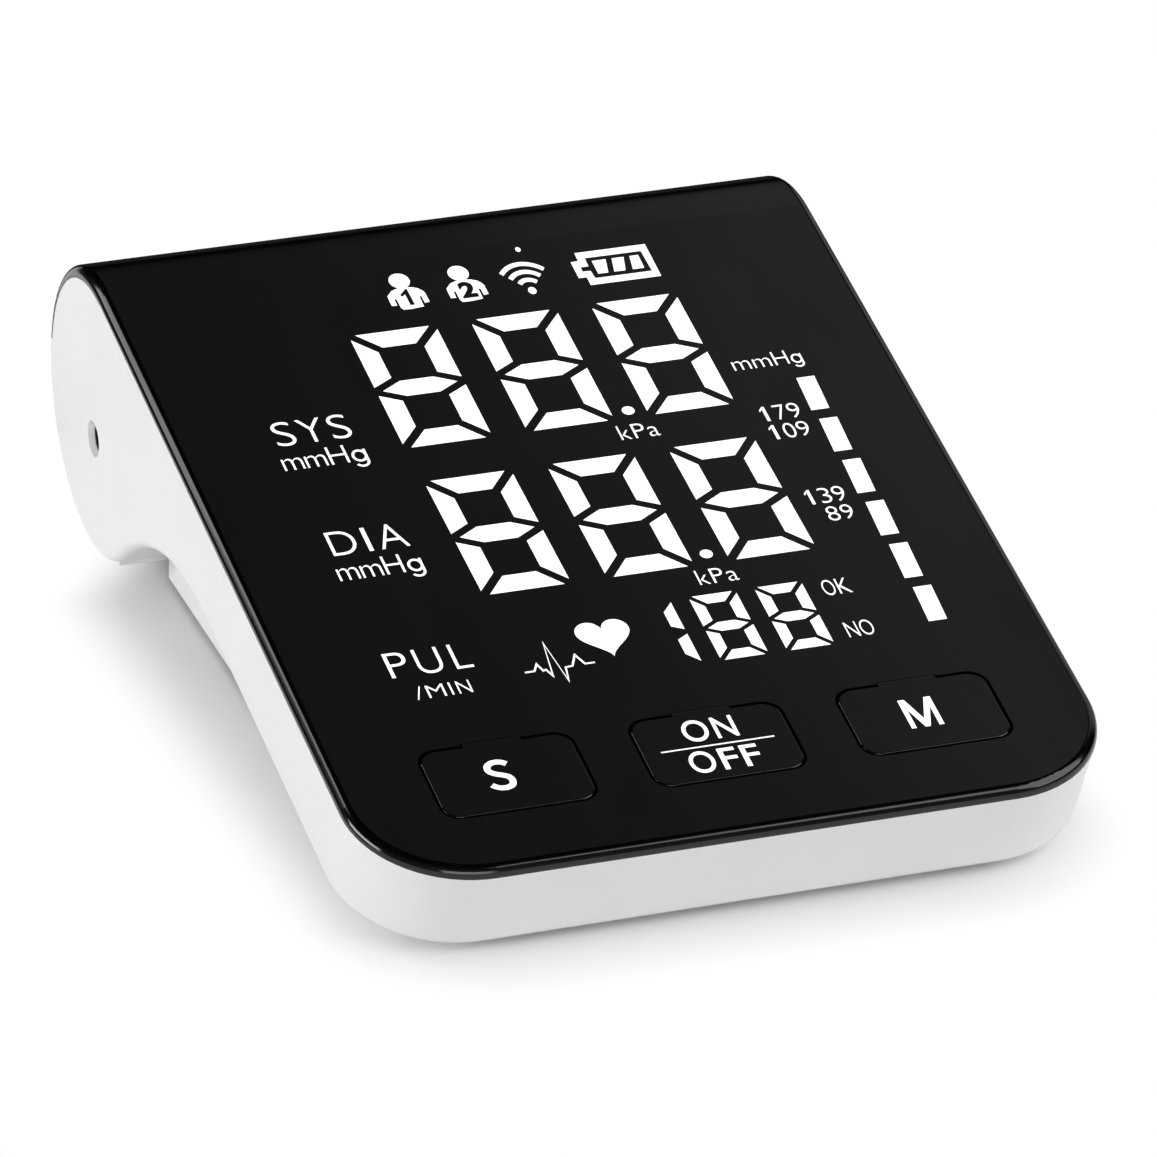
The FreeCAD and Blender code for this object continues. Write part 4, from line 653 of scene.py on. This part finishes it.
def repeat_tree():
    """Geometry nodes: one shape on every point of the host, joined to a plain mesh with its finish."""
    tree = bpy.data.node_groups.new("repeat_shape", "GeometryNodeTree")
    face = tree.interface
    face.new_socket("Geometry", in_out="INPUT", socket_type="NodeSocketGeometry")
    face.new_socket("Shape", in_out="INPUT", socket_type="NodeSocketObject")
    face.new_socket("Size", in_out="INPUT", socket_type="NodeSocketFloat").default_value = 1.0
    face.new_socket("Finish", in_out="INPUT", socket_type="NodeSocketMaterial")
    face.new_socket("Geometry", in_out="OUTPUT", socket_type="NodeSocketGeometry")
    start = tree.nodes.new("NodeGroupInput")
    end = tree.nodes.new("NodeGroupOutput")
    info = tree.nodes.new("GeometryNodeObjectInfo")
    place = tree.nodes.new("GeometryNodeInstanceOnPoints")
    real = tree.nodes.new("GeometryNodeRealizeInstances")
    paint = tree.nodes.new("GeometryNodeSetMaterial")
    for source, target in (
        (start.outputs["Geometry"], place.inputs["Points"]),
        (start.outputs["Shape"], info.inputs["Object"]),
        (info.outputs["Geometry"], place.inputs["Instance"]),
        (start.outputs["Size"], place.inputs["Scale"]),
        (place.outputs["Instances"], real.inputs["Geometry"]),
        (real.outputs["Geometry"], paint.inputs["Geometry"]),
        (start.outputs["Finish"], paint.inputs["Material"]),
        (paint.outputs["Geometry"], end.inputs["Geometry"]),
    ):
        tree.links.new(source, target)
    return tree


def repeated(shape_mesh, places, material, size=1.0):
    """The shape repeated at every place, as one plain mesh."""
    tree = bpy.data.node_groups.get("repeat_shape") or repeat_tree()
    shape = new_object("repeat_source", shape_mesh)
    points = bpy.data.meshes.new("repeat_host")
    points.from_pydata(places, [], [])
    host = new_object("repeat_host", points)
    change = host.modifiers.new("repeat", "NODES")
    change.node_group = tree
    sockets = {item.name: item.identifier for item in tree.interface.items_tree if item.in_out == "INPUT"}
    change[sockets["Shape"]] = shape
    change[sockets["Size"]] = size
    change[sockets["Finish"]] = material
    bpy.context.view_layer.update()
    mesh = bpy.data.meshes.new_from_object(host.evaluated_get(bpy.context.evaluated_depsgraph_get()))
    host.modifiers.remove(change)
    drop(host)
    drop(shape)
    if not mesh.polygons:
        raise RuntimeError("a repeated shape came out empty")
    return mesh


def finish_piece(name, mesh, material, body, replaced=()):
    """Names a finished mesh, gives it its material and lets it ride."""
    item = new_object(name, mesh)
    mesh.materials.clear()
    mesh.materials.append(material)
    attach(item, body)
    if replaced:
        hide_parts(*replaced)
    return item


def lit_piece(name, mesh, body="case"):
    """A lit mark laid on the cover or a key."""
    return finish_piece(name, on_cover(mesh), bpy.data.materials["lit_white"], body)


def dress(material, *names):
    """Gives CAD nodes their material."""
    for name in names:
        data = NODES[name].data
        data.materials.clear()
        data.materials.append(material)


def digit_strokes(row, chosen=range(7)):
    """Mitred strokes of one digit from its lower left corner: bottom, top, middle, then the sides."""
    width, height, gap = row["width"], row["height"], row["gap"]
    stroke, bar = row["side_stroke"], row["level_stroke"]
    mid = height / 2
    half = bar / 2
    near = stroke + gap
    far = width - near
    shapes = []
    for outer, inward in ((0.0, bar), (height, height - bar)):
        shapes.append([(gap, outer), (width - gap, outer), (far, inward), (near, inward)])
    upper = [(far, mid + half), (near, mid + half)]
    shapes.append([(gap, mid), (near, mid - half), (far, mid - half), (width - gap, mid), *upper])
    for end, way in ((0.0, 1), (height, -1)):
        tip = end + gap * way
        nose = mid - gap * way
        for outside, inside in ((0.0, stroke), (width, width - stroke)):
            shapes.append(
                [(outside, tip), (inside, tip + bar * way), (inside, nose - half * way), (outside, nose)]
            )
    return [[(u + row["lean"] * v / height, v) for u, v in shapes[index]] for index in chosen]


class MONITOR_OT_shell(bpy.types.Operator):
    """Finishes the white case, the base, its door and the air socket"""

    bl_idname = "monitor.shell"
    bl_label = "Case and base"

    def execute(self, context):
        white = tuple(settings().finishes.case_white)
        case = moulded("case_white", white, rough=(0.28, 0.36), grain=2600, depth=1.5e-6)
        dress(case, "main_case")
        base = moulded("base_grain", (0.82, 0.825, 0.83), rough=(0.5, 0.62), grain=1800, depth=12e-6)
        dress(base, "bottom_cover")
        door = moulded("door_grain", (0.83, 0.835, 0.84), rough=(0.5, 0.62), grain=1800, depth=12e-6)
        dress(door, "battery_door")
        grey = moulded("socket_grey", (0.16, 0.165, 0.17), rough=(0.4, 0.5), grain=1500, depth=4e-6)
        dress(grey, "air_socket")
        # Near-black lip in the air hole: a rubber lip, and painted shade standing in for the dark depth of
        # the hole.
        dark = moulded("lip_rubber_and_shade", (0.012, 0.012, 0.012), rough=(0.6, 0.75), grain=1500, depth=4e-6)
        rim = turned(PORT_RIM, ring=True)
        lip = turned(PORT_SHADE_LIP, ring=True)
        place = Matrix.Translation([part * MM for part in AIR_PORT]) @ Matrix.Rotation(math.pi / 2, 4, "Y")
        for mesh in (rim, lip):
            mesh.transform(place @ Matrix.Scale(MM, 4))
        finish_piece("air_port_rim", rim, case, "case")
        finish_piece("air_port_lip", lip, dark, "case")
        return {"FINISHED"}


class MONITOR_OT_cover(bpy.types.Operator):
    """Finishes the smoked cover and its keys"""

    bl_idname = "monitor.cover"
    bl_label = "Cover and keys"

    def execute(self, context):
        black = tuple(settings().finishes.cover_black)
        dress(smoked("cover_smoke", black), "front_panel")
        dress(smoked("key_smoke", black), *(f"{name}_key" for name in KEYS))
        return {"FINISHED"}


class MONITOR_OT_digits(bpy.types.Operator):
    """Makes the lit digits, the level bars and the decimal dots"""

    bl_idname = "monitor.digits"
    bl_label = "Digits and bars"

    def execute(self, context):
        light = lit_film("lit_white", tuple(settings().finishes.lit_white))
        for name, row in DIGIT_ROWS.items():
            first = 1 if name == "pulse" else 0
            lefts = [row["left"] + row["pitch"] * place for place in range(first, DIGITS_IN_ROW)]
            mesh = repeated(plate(digit_strokes(row)), [(left, row["base"], 0) for left in lefts], light)
            if name == "pulse":
                one = plate(digit_strokes(row, RIGHT_STROKES))
                one.transform(Matrix.Translation((row["left"], row["base"], 0)))
                mesh = joined([mesh, one])
            lit_piece(f"{name}_digits", mesh)
        left, low = LEVEL_PLACE
        places = [(left, low + LEVEL_PITCH * step, 0) for step in range(LEVEL_COUNT)]
        lit_piece("level_bars", repeated(plate([LEVEL_BAR]), places, light))
        dots = [(*dot, 0) for dot in DECIMAL_DOTS]
        lit_piece("decimal_dots", repeated(plate([oval(0, 0, DOT_RADIUS, DOT_RADIUS)]), dots, light))
        return {"FINISHED"}


class MONITOR_OT_signs(bpy.types.Operator):
    """Makes the user, link, battery, heart and trace signs"""

    bl_idname = "monitor.signs"
    bl_label = "Signs"

    def execute(self, context):
        dark = smoked("sign_smoke", tuple(settings().finishes.cover_black))
        lift = settings().place.mark_height
        figures = {"1": plate([USER_ONE]), "2": word(*USER_TWO, FIGURE_BOLDNESS)}
        for number, x in USERS.items():
            lit_piece(f"user_{number}", plate([user_loop(x)]))
            figure = on_cover(figures[number], lift)
            finish_piece(f"user_figure_{number}", figure, dark, "case")
        lit_piece("link_sign", plate(link_loops(*LINK_PLACE)))
        lit_piece("link_dot", plate([oval(*LINK_DOT)]))
        lit_piece("battery_sign", plate(BATTERY_SIGN))
        lit_piece("heart_sign", plate([heart_loop(*HEART_PLACE)]))
        lit_piece("trace_sign", plate([ribbon(TRACE, TRACE_HALF_WIDTH)]))
        return {"FINISHED"}


def user_loop(x):
    """Outline of a user sign: shoulders, arms and a round head."""
    head = arc(0, 116.15, 1.42, 1.6, [math.radians(step) for step in range(-66, 247, 12)])
    return [(x + u, v) for u, v in (*USER_BODY, *head)]


def link_loops(u, v):
    """Dot and three arcs of the link sign, which is taller than wide."""
    stretch = 1.4
    loops = [oval(u, v, 0.55, 0.75)]
    turns = [math.radians(45 + 4.5 * step) for step in range(21)]
    for inner, outer in LINK_ARCS:
        near = arc(u, v, inner, inner * stretch, turns)
        far = arc(u, v, outer, outer * stretch, turns)
        loops.append(near + far[::-1])
    return loops


def heart_loop(u, v):
    """Outline of the heart sign, from the usual heart curve."""
    count = 64
    half_width, half_height = 3.6, 3.55
    curve_height = 14.5
    points = []
    for step in range(count):
        turn = 2 * math.pi * step / count
        across = math.sin(turn) ** 3
        up = 13 * math.cos(turn) - 5 * math.cos(2 * turn) - 2 * math.cos(3 * turn) - math.cos(4 * turn)
        points.append((u + across * half_width, v + up * half_height / curve_height))
    return points


def softened(line, steps=4):
    """The points of a line with a smooth curve through them."""
    knots = [Vector(point) for point in (line[0], *line, line[-1])]
    curve = []
    for one, two, three, four in zip(knots, knots[1:], knots[2:], knots[3:]):
        for share in (step / steps for step in range(steps)):
            bend = (one * -1 + two * 3 - three * 3 + four) * share**3
            sway = (one * 2 - two * 5 + three * 4 - four) * share**2
            curve.append(tuple(two + (bend + sway + (three - one) * share) / 2))
    return [*curve, line[-1]]


def ribbon(line, half):
    """Outline of a line drawn with an even width."""
    sharpest = 0.35
    upper = []
    lower = []
    for index, corner in enumerate(line):
        here = Vector(corner)
        before = Vector(line[max(index - 1, 0)])
        after = Vector(line[min(index + 1, len(line) - 1)])
        into = (here - before).normalized() if index else (after - here).normalized()
        out = (after - here).normalized() if index < len(line) - 1 else into
        across = Vector((-(into + out).y, (into + out).x)).normalized()
        side = half / max(across.dot(Vector((-into.y, into.x))), sharpest)
        upper.append(tuple(here + across * side))
        lower.append(tuple(here - across * side))
    return upper + lower[::-1]


class MONITOR_OT_words(bpy.types.Operator):
    """Makes the words printed on the cover"""

    bl_idname = "monitor.words"
    bl_label = "Cover words"

    def execute(self, context):
        for name, spec in COVER_WORDS.items():
            lit_piece(f"{name}_word", word(*spec, COVER_BOLDNESS))
        return {"FINISHED"}


class MONITOR_OT_legends(bpy.types.Operator):
    """Makes the letters on the keys"""

    bl_idname = "monitor.legends"
    bl_label = "Key letters"

    def execute(self, context):
        outlines = {
            "setting": ribbon(softened(LETTER_S), LETTER_S_HALF_WIDTH),
            "power": POWER_RULE,
            "memory": letter_m_loop(left=-2.56, low=14.15, width=4.39, height=5.52, leg=0.64),
        }
        pitch = settings().place.key_pitch / MM
        for key, place in KEYS.items():
            words = [word(*spec, KEY_BOLDNESS) for spec in KEY_WORDS.get(key, ())]
            mesh = joined([*words, plate([outlines[key]])])
            mesh.transform(Matrix.Translation((pitch * place, 0, 0)))
            lit_piece(f"{key}_letters", mesh, f"{key}_key")
        return {"FINISHED"}


def letter_m_loop(left, low, width, height, leg):
    """Outline of a plain capital M with straight legs and a middle that reaches the base."""
    shoulder = leg * 1.35
    notch = height * 0.28
    foot = leg * 0.52
    mid = width / 2
    inner = (mid - foot - leg) * (height - notch) / (mid - shoulder)
    right_half = [(mid, notch), (width - shoulder, height), (width, height), (width, 0), (width - leg, 0)]
    right_half += [(width - leg, inner), (mid + foot, 0)]
    left_half = [(mid - foot, 0), (leg, inner), (leg, 0), (0, 0), (0, height), (shoulder, height)]
    return [(left + u, low + v) for u, v in right_half + left_half]


class MONITOR_OT_fittings(bpy.types.Operator):
    """Makes the screws, rubber feet and door grip of the base"""

    bl_idname = "monitor.fittings"
    bl_label = "Screws, feet and grip"

    def execute(self, context):
        zinc = plated("screw_zinc", (0.55, 0.55, 0.55), rough=(0.25, 0.4), grain=4000)
        dress(zinc, "board_screws")
        screws = repeated(screw_mesh(), in_metres(SCREW_PLACES, BASE_FACE), zinc, MM)
        finish_piece("cross_screws", screws, zinc, "case", ("case_screws",))
        rubber = moulded("foot_rubber", (0.72, 0.725, 0.73), rough=(0.65, 0.8), grain=1500, depth=10e-6)
        feet = repeated(turned(FOOT_PROFILE), in_metres(FOOT_PLACES, 0), rubber, MM)
        finish_piece("round_feet", feet, rubber, "case", ("foot_pads",))
        door = bpy.data.materials["door_grain"]
        ribs = repeated(grip_rib(), in_metres(RIB_PLACES, BASE_FACE), door, MM)
        finish_piece("door_ribs", ribs, door, "battery_door")
        arrow = plate([DOOR_ARROW])
        size = Matrix.Diagonal((MM, MM, ARROW_HEIGHT * MM, 1))
        arrow.transform(Matrix.Translation((0, 0, ARROW_FOOT * MM)) @ size)
        finish_piece("door_arrow", arrow, door, "battery_door")
        return {"FINISHED"}


def in_metres(places, height):
    """Places at one height, from millimetres to metres."""
    return [(x * MM, y * MM, height * MM) for x, y in places]


def screw_mesh():
    """Pan head with a cross recess, facing down, and its shank, in millimetres from the head's face."""
    head = new_object("screw", turned(SCREW_PROFILE, 40))
    arm = 0.26
    end = 1.15
    depth = 0.6
    cross = [
        (-arm, -end), (arm, -end), (arm, -arm), (end, -arm), (end, arm), (arm, arm), (arm, end),
        (-arm, end), (-arm, arm), (-end, arm), (-end, -arm), (-arm, -arm),
    ]
    tool = new_object("recess", plate([cross]))
    tool.data.transform(Matrix.Translation((0, 0, depth - 1)))
    change = head.modifiers.new("recess", "BOOLEAN")
    change.operation = "DIFFERENCE"
    change.solver = "EXACT"
    change.object = tool
    mesh = closed_mesh(head)
    drop(tool)
    return mesh


def grip_rib():
    """One rounded grip rib, lying along x and standing down from the door."""
    count = 10
    radius = 0.32
    root = 0.25
    half_length = 3.2
    round_side = arc(0, 0, radius, -radius, [math.pi * step / count for step in range(count + 1)])
    section = [(radius, root), *round_side, (-radius, root)]
    shape = bmesh.new()
    ends = [[shape.verts.new((x, v, w)) for v, w in section] for x in (-half_length, half_length)]
    shape.faces.new(ends[0])
    shape.faces.new(ends[1])
    for step in range(len(section)):
        after = (step + 1) % len(section)
        shape.faces.new((ends[0][step], ends[0][after], ends[1][after], ends[1][step]))
    return outward_mesh(shape, "rib")


class MONITOR_OT_inside(bpy.types.Operator):
    """Finishes the pieces inside the case"""

    bl_idname = "monitor.inside"
    bl_label = "Inner pieces"

    def execute(self, context):
        for name, (colour, rough, grain, depth, nodes) in INNER_MOULDED.items():
            dress(moulded(name, colour, rough, grain, depth), *nodes)
        for name, (colour, rough, grain, nodes) in INNER_PLATED.items():
            dress(plated(name, colour, rough, grain), *nodes)
        varnish = moulded(
            "board_varnish", (0.02, 0.18, 0.07), rough=(0.25, 0.4), grain=900, depth=4e-6,
            change=0.12, drift=300,
        )
        dress(varnish, "main_board", "power_board")
        dress(cell_wrap("cell_wrap", tuple(settings().finishes.cell_blue)), "battery_cells")
        return {"FINISHED"}


class MONITOR_OT_stage(bpy.types.Operator):
    """Sets the floor, the light and the camera"""

    bl_idname = "monitor.stage"
    bl_label = "Stage"

    def execute(self, context):
        scene = context.scene
        scene.view_settings.view_transform = "Standard"
        floor = level_sheets("studio_floor", (FLOOR_AREA,), 0, floor_material())
        black = moulded("flag_black", (0.01, 0.01, 0.01), rough=(0.9, 1.0), grain=200, depth=1e-5)
        flag = level_sheets("dark_flag", FLAG_AREAS, FLAG_HEIGHT, black)
        for rays in ("camera", "diffuse", "transmission", "shadow", "volume_scatter"):
            setattr(flag, f"visible_{rays}", False)
        light_world(scene)
        for name, (place, width, height, power) in SOFTBOXES.items():
            lamp = bpy.data.lights.new(name, "AREA")
            lamp.shape = "RECTANGLE"
            lamp.size = width
            lamp.size_y = height
            lamp.energy = power
            item = new_object(name, lamp)
            item.location = place
            item.rotation_euler = (Vector(LAMP_AIM) - Vector(place)).to_track_quat("-Z", "Y").to_euler()
        camera = bpy.data.cameras.new("photo_camera")
        camera.lens = CAMERA_LENS
        camera.sensor_width = CAMERA_SENSOR
        camera.clip_end = CAMERA_FAR_CLIP
        view = new_object("photo_camera", camera)
        view.matrix_world = Matrix.Translation(CAMERA_PLACE) @ Matrix(CAMERA_AXES).transposed().to_4x4()
        scene.camera = view
        return {"FINISHED"}


def level_sheets(name, areas, height, material):
    """Level sheets at one height, as one object."""
    corners = []
    for left, right, near, far in areas:
        corners += [(left, near, height), (right, near, height), (right, far, height), (left, far, height)]
    mesh = bpy.data.meshes.new(name)
    mesh.from_pydata(corners, [], [range(first, first + 4) for first in range(0, len(corners), 4)])
    mesh.materials.append(material)
    return new_object(name, mesh)


def floor_material():
    """Pale floor that keeps the shadow near the monitor and turns to plain white further out."""
    material, tree, shader, spot = node_material("floor_white")
    colour = tuple(settings().finishes.floor_white)
    tree.links.new(drifting(tree, noise(tree, spot, 1.5), colour, 0.004), shader.inputs["Base Color"])
    shader.inputs["Roughness"].default_value = 1.0
    shader.inputs["Specular IOR Level"].default_value = 0.0
    path = tree.nodes.new("ShaderNodeLightPath").outputs
    seen = calculated(tree, "MAXIMUM", path["Is Camera Ray"], path["Is Glossy Ray"])
    seen = calculated(tree, "MAXIMUM", seen, path["Is Transmission Ray"])
    fade = smooth_step(tree, past_shadow(tree, spot), *SHADOW_FADE)
    white = tree.nodes.new("ShaderNodeEmission")
    mix = tree.nodes.new("ShaderNodeMixShader")
    tree.links.new(times(tree, fade, seen), mix.inputs["Fac"])
    tree.links.new(shader.outputs["BSDF"], mix.inputs[1])
    tree.links.new(white.outputs["Emission"], mix.inputs[2])
    tree.links.new(mix.outputs["Shader"], tree.nodes["Material Output"].inputs["Surface"])
    return material


def past_shadow(tree, spot):
    """How far a place on the floor lies outside the rounded area that keeps the shadow."""
    across, along = split_axes(tree, spot)[:2]
    waist = times(tree, smooth_step(tree, along, *SHADOW_WAIST_SPAN), SHADOW_WAIST)
    narrower = calculated(tree, "SUBTRACT", waist, times(tree, along, SHADOW_TAPER))
    gaps = []
    for place, half in ((across, SHADOW_HALF_WIDTH), (along, SHADOW_HALF_DEPTH)):
        gaps.append(calculated(tree, "SUBTRACT", calculated(tree, "ABSOLUTE", place), half - SHADOW_ROUNDING))
    gaps[0] = calculated(tree, "ADD", gaps[0], narrower)
    squares = [calculated(tree, "POWER", calculated(tree, "MAXIMUM", gap), 2.0) for gap in gaps]
    away = calculated(tree, "SQRT", calculated(tree, "ADD", *squares))
    return calculated(tree, "SUBTRACT", away, SHADOW_ROUNDING)


def light_world(scene):
    """Soft studio surround: pale in front, dark behind, and a dim ceiling with a paler right part."""
    world = bpy.data.worlds.new("studio")
    scene.world = world
    world.use_nodes = True
    tree = world.node_tree
    spot = tree.nodes.new("ShaderNodeTexCoord").outputs["Generated"]
    across, away, high_up = split_axes(tree, spot)
    facing = tree.nodes.new("ShaderNodeVectorMath")
    facing.operation = "DOT_PRODUCT"
    facing.inputs[1].default_value = FRONT_WAY
    tree.links.new(spot, facing.inputs[0])
    front = smooth_step(tree, facing.outputs["Value"], *FRONT_SPAN)
    lean = times(tree, calculated(tree, "MINIMUM", away, PALER_LEAN_END), PALER_LEAN)
    paler = smooth_step(tree, calculated(tree, "ADD", across, lean), *PALER_SPAN)
    shine = calculated(tree, "ADD", times(tree, paler, PALER_LEVEL), CEILING_LEVEL)
    for span in CEILING_SIDES:
        shine = times(tree, shine, smooth_step(tree, across, *span))
    shine = times(tree, shine, times(tree, high_up, smooth_step(tree, high_up, *CEILING_RISE)))
    side = times(tree, smooth_step(tree, across, *SIDE_SPAN), smooth_step(tree, high_up, *SIDE_RISE))
    ceiling = calculated(tree, "ADD", shine, times(tree, side, SIDE_LEVEL))
    back = times(tree, ceiling, smooth_step(tree, away, *BACK_SPAN))
    level = calculated(tree, "MAXIMUM", times(tree, front, FRONT_LEVEL), back)
    tree.links.new(level, tree.nodes["Background"].inputs["Color"])


OPERATORS = (
    MONITOR_OT_shell,
    MONITOR_OT_cover,
    MONITOR_OT_digits,
    MONITOR_OT_signs,
    MONITOR_OT_words,
    MONITOR_OT_legends,
    MONITOR_OT_fittings,
    MONITOR_OT_inside,
    MONITOR_OT_stage,
)


class MONITOR_PT_builder(bpy.types.Panel):
    """Lists the steps that dress the monitor"""

    bl_idname = "MONITOR_PT_builder"
    bl_label = "Pressure monitor"
    bl_space_type = "VIEW_3D"
    bl_region_type = "UI"
    bl_category = "Monitor"

    def draw(self, context):
        for step in OPERATORS:
            self.layout.operator(step.bl_idname)
        for name in Finishes.__annotations__:
            self.layout.prop(context.scene.monitor.finishes, name)


CLASSES = (PanelPlace, Finishes, MonitorSettings, *OPERATORS, MONITOR_PT_builder)


def register():
    """Registers every class and the scene's settings."""
    for item in CLASSES:
        bpy.utils.register_class(item)
    bpy.types.Scene.monitor = bpy.props.PointerProperty(type=MonitorSettings)


def unregister():
    """Undoes register."""
    del bpy.types.Scene.monitor
    for item in reversed(CLASSES):
        bpy.utils.unregister_class(item)


def main():
    """Registers the add-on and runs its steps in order."""
    register()
    for step in OPERATORS:
        group, call = step.bl_idname.split(".")
        getattr(getattr(bpy.ops, group), call)()


if __name__ == "__main__":
    main()
